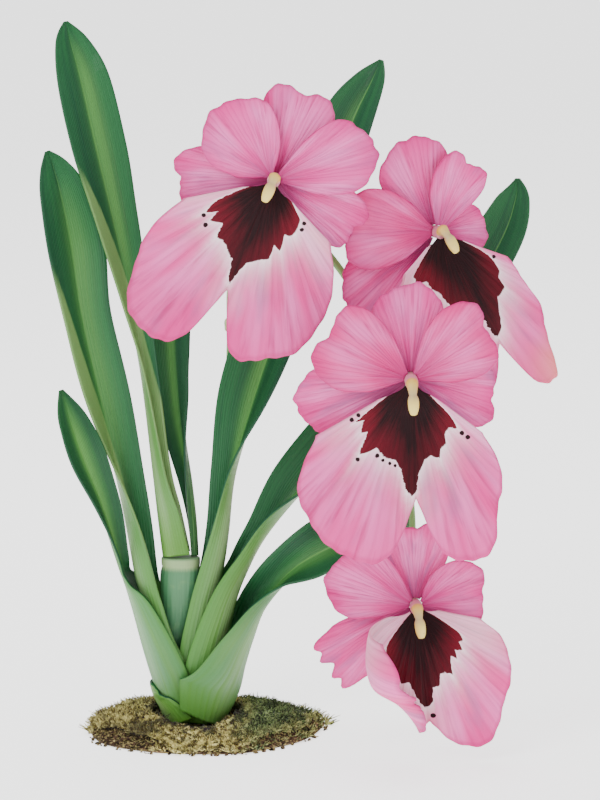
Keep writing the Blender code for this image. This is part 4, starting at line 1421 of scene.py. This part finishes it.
def blooms() -> list[Bloom]:
    """Describe the four blooms of the spray, in millimetres and degrees.

    Returns:
        The blooms, from the top of the stalk to its tip.
    """
    deep = {"rose": srgb(220, 44, 128), "light": 0.40, "mauve_shade": 0.2}
    soft = {"light": 0.85, "mauve_shade": 0.75}
    return [
        Bloom("bloom_1", (26.8, -46.0, 209.0), -4.0, 0.0, 1.0, 0.0, (30.0, -12.4, 188.8), {
            "dorsal_sepal": Tepal(69, 33.2, 25.5, 1.0, 0.035),
            "left_petal": Tepal(128, 31.2, 29.0, -1.0, 0.045),
            "right_petal": Tepal(18, 36.2, 25.5, 1.0, 0.045),
            "left_sepal": Tepal(177, 34.6, 21.0, 1.0, 0.04),
            "right_sepal": Tepal(-29, 34.2, 20.5, -1.0, 0.04),
        }, LipShape(-113, Lobe(56, (40.0, 63.0, 68.0, 68.0, 64.0, 58.0, 50.5, 41.5, 31.5)),
                    Lobe(66, (40.0, 60.0, 63.5, 61.0, 57.5, 52.0, 45.0, 37.5, 29.5))),
            LipFinish("bloom_1_lip_skin", (
                (-57, 3), (-50, 17), (-46, 23), (-42, 26), (-38, 22), (-35, 26), (-27, 23), (-22, 28),
                (-17, 27), (-10, 29), (-5, 31), (-2, 37), (0, 39), (2, 34), (5, 30), (12, 28), (20, 27),
                (24, 22), (29, 24), (35, 19), (42, 20), (52, 18), (59, 16), (64, 11), (72, 3)), 1.0,
                ((-40.8, 27.0, 0.85), (-34.0, 28.2, 0.85), (60.0, 18.0, 0.8), (54.0, 19.4, 0.8))),
            {"right_sepal": soft, "left_sepal": {"light": 0.8}}),
        Bloom("bloom_2", (84.5, -30.0, 188.9), 20.0, 2.0, 2.3, 0.5, (52.0, -13.0, 171.0), {
            "dorsal_sepal": Tepal(111, 34.2, 26.5, -1.0, 0.035),
            "left_petal": Tepal(174, 35.0, 28.0, 1.0, 0.045),
            "right_petal": Tepal(68, 28.2, 20.5, -1.0, 0.05),
            "left_sepal": Tepal(-147, 40.6, 22.0, 1.5, 0.04),
            "right_sepal": Tepal(0, 20.6, 17.5, 0.0, 0.04),
        }, LipShape(-62, Lobe(76, (45.0, 58.0, 54.0, 44.0, 39.5, 36.0, 31.0, 27.0, 21.0)),
                    Lobe(41, (45.0, 66.0, 68.0, 57.0, 50.5, 45.5, 37.0, 31.0, 26.0))),
            LipFinish("bloom_2_lip_skin", (
                (-73, 3), (-67, 19), (-58, 20), (-50, 18), (-44, 20), (-34, 21), (-28, 24), (-22, 27),
                (-15, 28), (-7, 30), (-3, 34), (-1, 42), (1, 43), (4, 41), (8, 35), (13, 31), (21, 31),
                (24, 27), (29, 26), (33, 23), (36, 20), (39, 12), (45, 3)),
                3.0, ((37.0, 22.0, 0.8),), tint=0.75),
            {"left_petal": deep, "left_sepal": soft}),
        Bloom("bloom_3", (74.2, -62.0, 141.4), 2.0, 2.0, 4.1, 4.0, (66.0, -17.0, 141.0), {
            "dorsal_sepal": Tepal(91, 32.4, 24.5, 0.5, 0.035),
            "left_petal": Tepal(154, 35.0, 29.0, -1.5, 0.045),
            "right_petal": Tepal(35, 33.0, 26.0, 1.5, 0.045),
            "left_sepal": Tepal(-168, 39.8, 24.0, 1.5, 0.04),
            "right_sepal": Tepal(-14, 30.6, 22.5, -1.0, 0.04),
        }, LipShape(-88, Lobe(63, (41.0, 57.5, 64.0, 65.5, 63.0, 59.5, 54.5, 46.5, 38.5)),
                    Lobe(52, (41.0, 56.5, 63.5, 66.0, 62.5, 53.5, 47.0, 40.0, 30.0))),
            LipFinish("bloom_3_lip_skin", (
                (-62, 3), (-57, 24), (-53, 21), (-47, 25), (-43, 23), (-38, 31), (-34, 29), (-30, 26),
                (-22, 28), (-13, 28), (-9, 31), (-5, 38), (-2, 40), (1, 38), (3, 32), (7, 28), (13, 27),
                (18, 29), (21, 26), (27, 25), (30, 22), (36, 21), (42, 23), (46, 18), (52, 3)), 5.0,
                ((-60.0, 24.6, 0.85), (-60.5, 21.8, 0.8), (-37.0, 32.8, 0.85), (-27.0, 28.4, 0.85),
                 (-22.0, 29.2, 0.6), (-17.0, 29.6, 0.6), (-13.0, 30.0, 0.6), (42.2, 25.2, 0.8),
                 (43.0, 27.6, 0.85))),
            {"left_petal": deep, "right_petal": deep, "left_sepal": soft, "right_sepal": soft}),
        Bloom("bloom_4", (77.2, -40.0, 55.8), 3.0, 3.0, 5.6, 3.0, (76.6, -20.0, 71.0), {
            "dorsal_sepal": Tepal(88, 29.0, 22.5, 0.0, 0.035),
            "left_petal": Tepal(157, 33.0, 26.5, -1.0, 0.05),
            "right_petal": Tepal(13, 25.4, 25.0, 1.0, 0.05),
            "left_sepal": Tepal(-147, 39.4, 21.5, 1.5, 0.06),
            "right_sepal": Tepal(-32, 29.0, 15.0, -1.0, 0.04),
        }, LipShape(-83, Lobe(78, (42.5, 45.0, 42.0, 40.0, 41.0, 44.0, 46.0, 44.0, 33.0)),
                    Lobe(74, (42.5, 50.0, 55.0, 52.0, 46.0, 41.0, 36.5, 31.0, 22.5)), rolled=True),
            LipFinish("bloom_4_lip_skin", (
                (-52, 3), (-46, 17), (-41, 20), (-35, 21), (-28, 26), (-22, 26), (-18, 28), (-13, 27),
                (-8, 31), (-3, 36), (0, 36), (3, 34), (4, 29), (9, 29), (12, 25), (17, 25), (21, 27),
                (24, 23), (28, 21), (31, 23), (35, 20), (40, 22), (44, 19), (48, 20), (53, 17), (60, 3)),
                8.0, ((1.8, 39.3, 0.9),)),
            {"dorsal_sepal": soft, "left_sepal": soft}),
    ]


# Stalk

@dataclass
class Stalk:
    """Arching flower stalk, its short stems and their bracts."""

    blooms: list[Bloom]
    route: tuple[Row, ...] = (
        (1.0, 19.4, STEM_FOOT), (1.0, 19.4, 14.0), (2.2, 19.2, 22.0), (4.3, 18.6, 36.0), (5.5, 18.4, 62.0),
        (7.5, 18.6, 94.0), (9.4, 17.4, 122.0), (10.4, 11.0, 145.0), (10.9, 1.0, 166.0), (15.7, -8.0, 181.5),
        (26.8, -12.0, 188.8), (38.7, -12.0, 185.5), (50.0, -12.5, 173.5), (60.5, -15.0, 156.0),
        (68.0, -17.5, 134.0), (73.5, -19.0, 108.0), (76.2, -19.0, 86.0), (76.6, -20.0, 71.0),
    )
    nodes: tuple[float, ...] = (0.14, 0.29, 0.42)
    foot_radius: float = 1.7
    tip_radius: float = 1.15
    stem_radius: float = 1.25

    def bract(self, name: str, foot: Vector, run: Vector, radius: float) -> None:
        """Small pointed scale that half clasps the stalk.

        Args:
            name: the piece's name.
            foot: where it starts, in millimetres.
            run: direction that it grows in.
            radius: radius of what it clasps.
        """
        run = run.normalized()
        front = Vector((0.0, -1.0, 0.0))
        front = (front - run * front.dot(run)).normalized()
        aside = run.cross(front)

        def place(u: float, v: float) -> Vector:
            """Find a point on the scale.

            Args:
                u: place across, from -1 to 1.
                v: place along, from -1 at the foot to 1 at the tip.

            Returns:
                The point, in millimetres.
            """
            t = 0.5 * (v + 1.0)
            turn = u * 1.9 * (1.0 - t) ** 0.7
            out = radius + 0.45 + 1.1 * t * t
            return foot + run * (t * 7.5) + front * (out * math.cos(turn)) + aside * (out * math.sin(turn))

        made = piece(bent_grid(14, 16, place, toward=front), name,
                     (StemFinish(f"{name}_skin", low=srgb(140, 168, 96), high=srgb(162, 180, 112)).make(),))
        thicken(made, 0.35)

    def stem(self, bloom: Bloom) -> None:
        """Build and dress the short stem that carries one bloom, with its scale.

        Args:
            bloom: the bloom at its end.
        """
        facing = bloom.axes()[2]
        end = Vector(bloom.throat) - facing * (COLUMN_BACK + CLEAR)
        last = end - facing * 2.0
        pull = end - facing * 10.0
        start = Vector(bloom.stem)
        count = 30
        path = []
        sizes = []
        for i in range(count + 1):
            t = i / count
            path.append(start.lerp(pull, t).lerp(pull.lerp(last, t), t))
            sizes.append(mix(self.stem_radius - 0.15, self.stem_radius + 0.55, ease(t)))
        path.append(end)
        sizes.append(sizes[-1])
        skin = StemFinish(f"{bloom.name}_stem_skin").make()
        piece(tube(path, sizes, 24), f"{bloom.name}_stem_body", (skin,))
        self.bract(f"{bloom.name}_scale", path[1], path[4] - path[1], sizes[1])

    def build(self) -> None:
        """Build and dress the stalk."""
        steps = 150
        points = [Vector(spline(self.route, i / steps)) for i in range(steps + 1)]
        radii = []
        for i in range(steps + 1):
            t = i / steps
            node = sum(math.exp(-((t - place) / 0.006) ** 2) for place in self.nodes)
            radii.append(mix(self.foot_radius, self.tip_radius, t) + 0.22 * node)
        skin = StemFinish("stalk_skin").make()
        made = piece(tube(points, radii, 24), "stalk_body", (skin,), ("flower_spike",))
        for i, share in enumerate(self.nodes):
            k = round(share * steps)
            self.bract(f"stalk_scale_{i + 1}", points[k], points[k + 1] - points[k], radii[k])
        for bloom in self.blooms:
            self.stem(bloom)
        LOG.info("stalk %s with %d stems", made.name, len(self.blooms))


# Mound, moss and crumbs

@dataclass
class Ground:
    """Low mound of soil with its moss, strands and crumbs."""

    half_x: float = 43.5
    half_y: float = 37.0
    height: float = 5.6
    hole: tuple[float, float] = (-3.0, 0.0)
    hole_x: float = 16.6
    hole_y: float = 13.5
    tufts: int = 1500
    strands: int = 10
    rim_share: float = 0.38
    crumbs: int = 700
    front_cut: float = 0.75

    @staticmethod
    def front(turn: float, share: float) -> float:
        """How much a place belongs to the low front of the moss, by the sheaths.

        Args:
            turn: bearing from the hole.
            share: 0 at the hole, 1 at the moss's rim.

        Returns:
            1 in the very front at the hole, 0 at the rim and behind.
        """
        return math.exp(-((turn + 1.6) / 0.8) ** 2) * max(1.0 - share, 0.0) ** 0.7

    def edge(self, turn: float) -> float:
        """Outline factor of the mound.

        Args:
            turn: bearing from the mound's middle.

        Returns:
            The outline's distance there, over that of the plain oval.
        """
        edge = 1.0 + 0.030 * math.sin(3 * turn + 0.6) + 0.022 * math.sin(5 * turn + 2.0)
        edge += 0.014 * math.sin(9 * turn) - 0.20 * max(math.sin(turn), 0.0)
        edge += 0.07 * math.exp((math.cos(turn + 0.8) - 1.0) / 0.06)
        return edge + 0.07 * math.exp((math.cos(turn + 2.35) - 1.0) / 0.06)

    def surface(self, x: float, y: float) -> float:
        """Height of the soil.

        Args:
            x: place to the right of the mound's middle, in millimetres.
            y: place behind it.

        Returns:
            The height there.
        """
        turn = math.atan2(y / self.half_y, x / self.half_x)
        share = min(math.hypot(x / self.half_x, y / self.half_y) / self.edge(turn), 1.0)
        swell = 1.0 + 0.07 * math.sin(turn + 2.6) * share
        front = 1.0 - 0.48 * math.exp(-(1.0 + math.sin(turn)) / 0.245)
        back = 1.0 - 0.20 * max(math.sin(turn), 0.0)
        return self.height * swell * front * back * (1.0 - share ** 2.6)

    def cushion(self, turn: float, share: float) -> tuple[Vector, float]:
        """Point on the moss's top.

        Args:
            turn: bearing from the hole.
            share: 0 at the hole, 1 at the moss's rim.

        Returns:
            The point on the soil under it, and the moss's thickness there.
        """
        hx = self.hole[0] + (self.hole_x + 0.1) * math.cos(turn)
        hy = self.hole[1] + (self.hole_y + 0.1) * math.sin(turn)
        bearing = math.atan2(hy / self.half_y, hx / self.half_x)
        rim = 0.90 + 0.045 * math.sin(4 * turn + 1.0) + 0.035 * math.sin(11 * turn + 0.4)
        rim -= 0.10 * math.exp(-((turn + 2.2) / 0.35) ** 2)
        edge = self.edge(bearing)
        x = mix(hx, math.cos(bearing) * edge * rim * self.half_x, share)
        y = mix(hy, math.sin(bearing) * edge * rim * self.half_y, share)
        local = self.edge(math.atan2(y / self.half_y, x / self.half_x))
        reach = math.hypot(x / self.half_x, y / self.half_y) / local
        under = self.surface(x, y) + 2.1 * ease((reach - 0.5) / 0.5) * 0.6
        body = (1.0 - min(max(share, 0.0), 1.0) ** 3) ** 0.7
        lump = 0.9 * math.sin(7 * turn + 4.0 * share) + 0.7 * math.sin(13 * turn - 5.0 * share + 1.0)
        lump += 0.5 * math.sin(23 * turn + 9.0 * share)
        return Vector((x, y, under + 0.45)), body * (1.5 + 0.45 * lump) + 0.75

    def moss(self) -> bpy.types.Object:
        """Build and dress the cushion of moss.

        Returns:
            The cushion's piece.
        """
        bm = bmesh.new()
        bmesh.ops.create_grid(bm, x_segments=360, y_segments=90, size=1.0)
        for vert in bm.verts:
            turn = math.pi * vert.co.x
            way = 0.5 * (vert.co.y + 1.0)
            if way <= MOSS_UNDERSIDE:
                base, _ = self.cushion(turn, 1.0 - way / MOSS_UNDERSIDE)
                vert.co = base * MM
                continue
            share = (way - MOSS_UNDERSIDE) / (1.0 - MOSS_UNDERSIDE)
            base, thick = self.cushion(turn, share)
            thick *= 1.0 - self.front_cut * self.front(turn, share)
            rough = math.sin(61 * turn + 20.0 * share) * math.sin(70.0 * share - 17 * turn)
            rough += 0.6 * math.sin(97 * turn - 31.0 * share) * math.sin(110.0 * share + 29 * turn)
            rough += 2.2 * math.sin(31 * turn + 11.0 * share) * math.sin(24.0 * share - 9 * turn + 1.0)
            thick = 0.0 if way > 0.999 else max(thick + 0.25 * rough * min(1.0, (1.0 - share) * 6.0), 0.2)
            vert.co = (base + Vector((0.0, 0.0, thick))) * MM
        bmesh.ops.remove_doubles(bm, verts=bm.verts[:], dist=0.00001)
        bmesh.ops.recalc_face_normals(bm, faces=bm.faces[:])
        return piece(bm, "moss_cushion", (MossFinish("moss_skin").make(),), ("moss",))

    def tuft(self, bm: bmesh.types.BMesh, rng: random.Random) -> None:
        """Add one tuft of short curved strands, rooted in the moss or on the mound's skirt.

        Args:
            bm: the mesh that takes it.
            rng: source of its draws.
        """
        turn = rng.uniform(-math.pi, math.pi)
        rim = rng.random() < self.rim_share
        share = rng.uniform(0.88, 1.12) if rim else rng.random() ** 0.65
        base, thick = self.cushion(turn, share)
        low = self.front(turn, share)
        root = base + Vector((0.0, 0.0, thick * (1.0 - self.front_cut * low) - 0.6))
        if share > 0.97:
            root.z = rng.uniform(0.4, 1.4)
        outward = Vector((math.cos(turn), math.sin(turn), 0.0))
        lean = outward * (rng.uniform(-0.1, 0.5) + (0.5 if share < 0.14 or rim else 0.0))
        tall = rng.uniform(0.7, 1.35) * (1.0 - 0.5 * low)
        for _ in range(self.strands):
            aside = Vector((rng.gauss(0.0, 0.45), rng.gauss(0.0, 0.45), 0.0))
            foot = root + aside * 0.9
            run = (Vector((0.0, 0.0, 1.0)) + lean + aside).normalized()
            length = rng.uniform(1.3, 2.7) * tall
            turned = run.to_track_quat("Z", "Y").to_matrix().to_4x4()
            spot = Matrix.Translation((foot + run * (length * 0.5)) * MM)
            width = rng.uniform(0.20, 0.38) * MM
            made = bmesh.ops.create_cone(bm, cap_ends=True, segments=3, radius1=width, radius2=width * 0.3,
                                         depth=length * MM, matrix=spot @ turned)
            droop = aside * (0.5 * length * MM)
            for vert in made["verts"]:
                if (vert.co - foot * MM).dot(run) > length * 0.5 * MM:
                    vert.co += droop

    def grain(self, bm: bmesh.types.BMesh, rng: random.Random) -> None:
        """Add one crumb of soil or chip of bark on the mound's skirt.

        Args:
            bm: the mesh that takes it.
            rng: source of its draws.
        """
        turn = rng.uniform(-math.pi, math.pi)
        share = rng.uniform(0.80, 1.03)
        edge = self.edge(turn)
        x = math.cos(turn) * edge * share * self.half_x
        y = math.sin(turn) * edge * share * self.half_y
        size = rng.uniform(0.35, 1.05)
        z = self.surface(x, y) + (1.2 if share < 0.99 else 0.0) + 0.3 * size
        axis = Vector((rng.random(), rng.random(), rng.random())).normalized()
        spin = Matrix.Rotation(rng.uniform(0.0, math.tau), 4, axis)
        shape = Matrix.Diagonal((rng.uniform(0.7, 1.5), rng.uniform(0.6, 1.1), rng.uniform(0.5, 0.9), 1.0))
        bmesh.ops.create_icosphere(bm, subdivisions=1, radius=size * MM,
                                   matrix=Matrix.Translation(Vector((x, y, z)) * MM) @ spin @ shape)

    @staticmethod
    def scatter(count: int, batch_size: int, add: Callable[[bmesh.types.BMesh, random.Random], None],
                rng: random.Random) -> bmesh.types.BMesh:
        """Add a small shape many times, in batches that stay quick to build.

        Args:
            count: how many.
            batch_size: how many in one batch.
            add: adds one to a mesh.
            rng: source of the draws.

        Returns:
            The mesh that holds them all.
        """
        total = bmesh.new()
        holder = bpy.data.meshes.new("batch")
        for start in range(0, count, batch_size):
            batch = bmesh.new()
            for _ in range(min(batch_size, count - start)):
                add(batch, rng)
            for vert in batch.verts:
                vert.co.z = max(vert.co.z, 0.0)
            batch.to_mesh(holder)
            batch.free()
            total.from_mesh(holder)
        bpy.data.meshes.remove(holder)
        return total

    def build(self) -> None:
        """Build and dress the ground."""
        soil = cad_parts["soil_mound"]
        soil.data.materials.clear()
        soil.data.materials.append(SoilFinish("soil_skin").make())
        strands = self.scatter(self.tufts, 12, self.tuft, random.Random(31))
        grains = self.scatter(self.crumbs, 120, self.grain, random.Random(47))
        skin = MossFinish("moss_strand_skin", lift=0.25).make()
        tufts = piece(strands, "moss_strands", (skin,), smooth=False)
        crumbs = piece(grains, "soil_crumbs", (SoilFinish("soil_crumb_skin").make(),), smooth=False)
        for made in (self.moss(), tufts, crumbs):
            LOG.info("ground %s: %d faces", made.name, len(made.data.polygons))


# Studio

@dataclass
class Studio:
    """Pale floor, soft lights, and the camera at the photograph's viewing angle."""

    target: tuple[float, float, float] = (0.0358, 0.0, 0.1234)
    distance: float = 1.217
    elevation: float = 10.0
    lens: float = 100.0

    def camera(self) -> None:
        """Place the camera."""
        data = bpy.data.cameras.new("camera")
        data.sensor_fit = "VERTICAL"
        data.sensor_height = 24.0
        data.lens = self.lens
        data.clip_start = 0.01
        data.clip_end = 50.0
        made = bpy.data.objects.new("camera", data)
        lift = math.radians(self.elevation)
        look = Vector((0.0, math.cos(lift), -math.sin(lift)))
        made.location = Vector(self.target) - look * self.distance
        made.rotation_euler = look.to_track_quat("-Z", "Y").to_euler()
        bpy.context.scene.collection.objects.link(made)
        bpy.context.scene.camera = made

    def light(self, name: str, place: Row, aim: Row, size: float, power: float) -> None:
        """Add one soft square light.

        Args:
            name: its name.
            place: where it hangs, in metres.
            aim: what it looks at.
            size: its side, in metres.
            power: in watts.
        """
        data = bpy.data.lights.new(name, "AREA")
        data.shape = "SQUARE"
        data.size = size
        data.energy = power
        made = bpy.data.objects.new(name, data)
        made.location = Vector(place)
        made.rotation_euler = (Vector(aim) - Vector(place)).to_track_quat("-Z", "Y").to_euler()
        bpy.context.scene.collection.objects.link(made)

    def floor(self) -> None:
        """Lay the pale floor."""
        bm = bmesh.new()
        bmesh.ops.create_grid(bm, x_segments=1, y_segments=1, size=6.0)
        mesh = bpy.data.meshes.new("floor")
        bm.to_mesh(mesh)
        bm.free()
        made = bpy.data.objects.new("floor", mesh)
        mesh.materials.append(FloorFinish().make())
        bpy.context.scene.collection.objects.link(made)

    def build(self) -> None:
        """Set up the camera, floor, sky and lights."""
        self.camera()
        self.floor()
        world = bpy.data.worlds.new("studio")
        world.use_nodes = True
        sky = world.node_tree.nodes["Background"]
        sky.inputs["Color"].default_value = (1.0, 1.0, 1.0, 1.0)
        sky.inputs["Strength"].default_value = 0.8
        bpy.context.scene.world = world
        aim = (0.035, 0.0, 0.13)
        self.light("key", (-0.65, -1.0, 0.95), aim, 0.6, 9.0)
        self.light("fill", (0.95, -0.8, 0.45), aim, 0.9, 2.5)
        self.light("top", (0.0, 0.3, 1.3), aim, 0.8, 9.0)
        LOG.info("studio ready")


def main() -> None:
    """Build the plant piece by piece."""
    logging.basicConfig(level=logging.INFO, format="%(name)s: %(message)s")
    Studio().build()
    Ground().build()
    Bulb().build()
    LOG.info("bulb built")
    Foliage().build()
    spray = blooms()
    Stalk(spray).build()
    for bloom in spray:
        bloom.build()


if __name__ == "__main__":
    main()
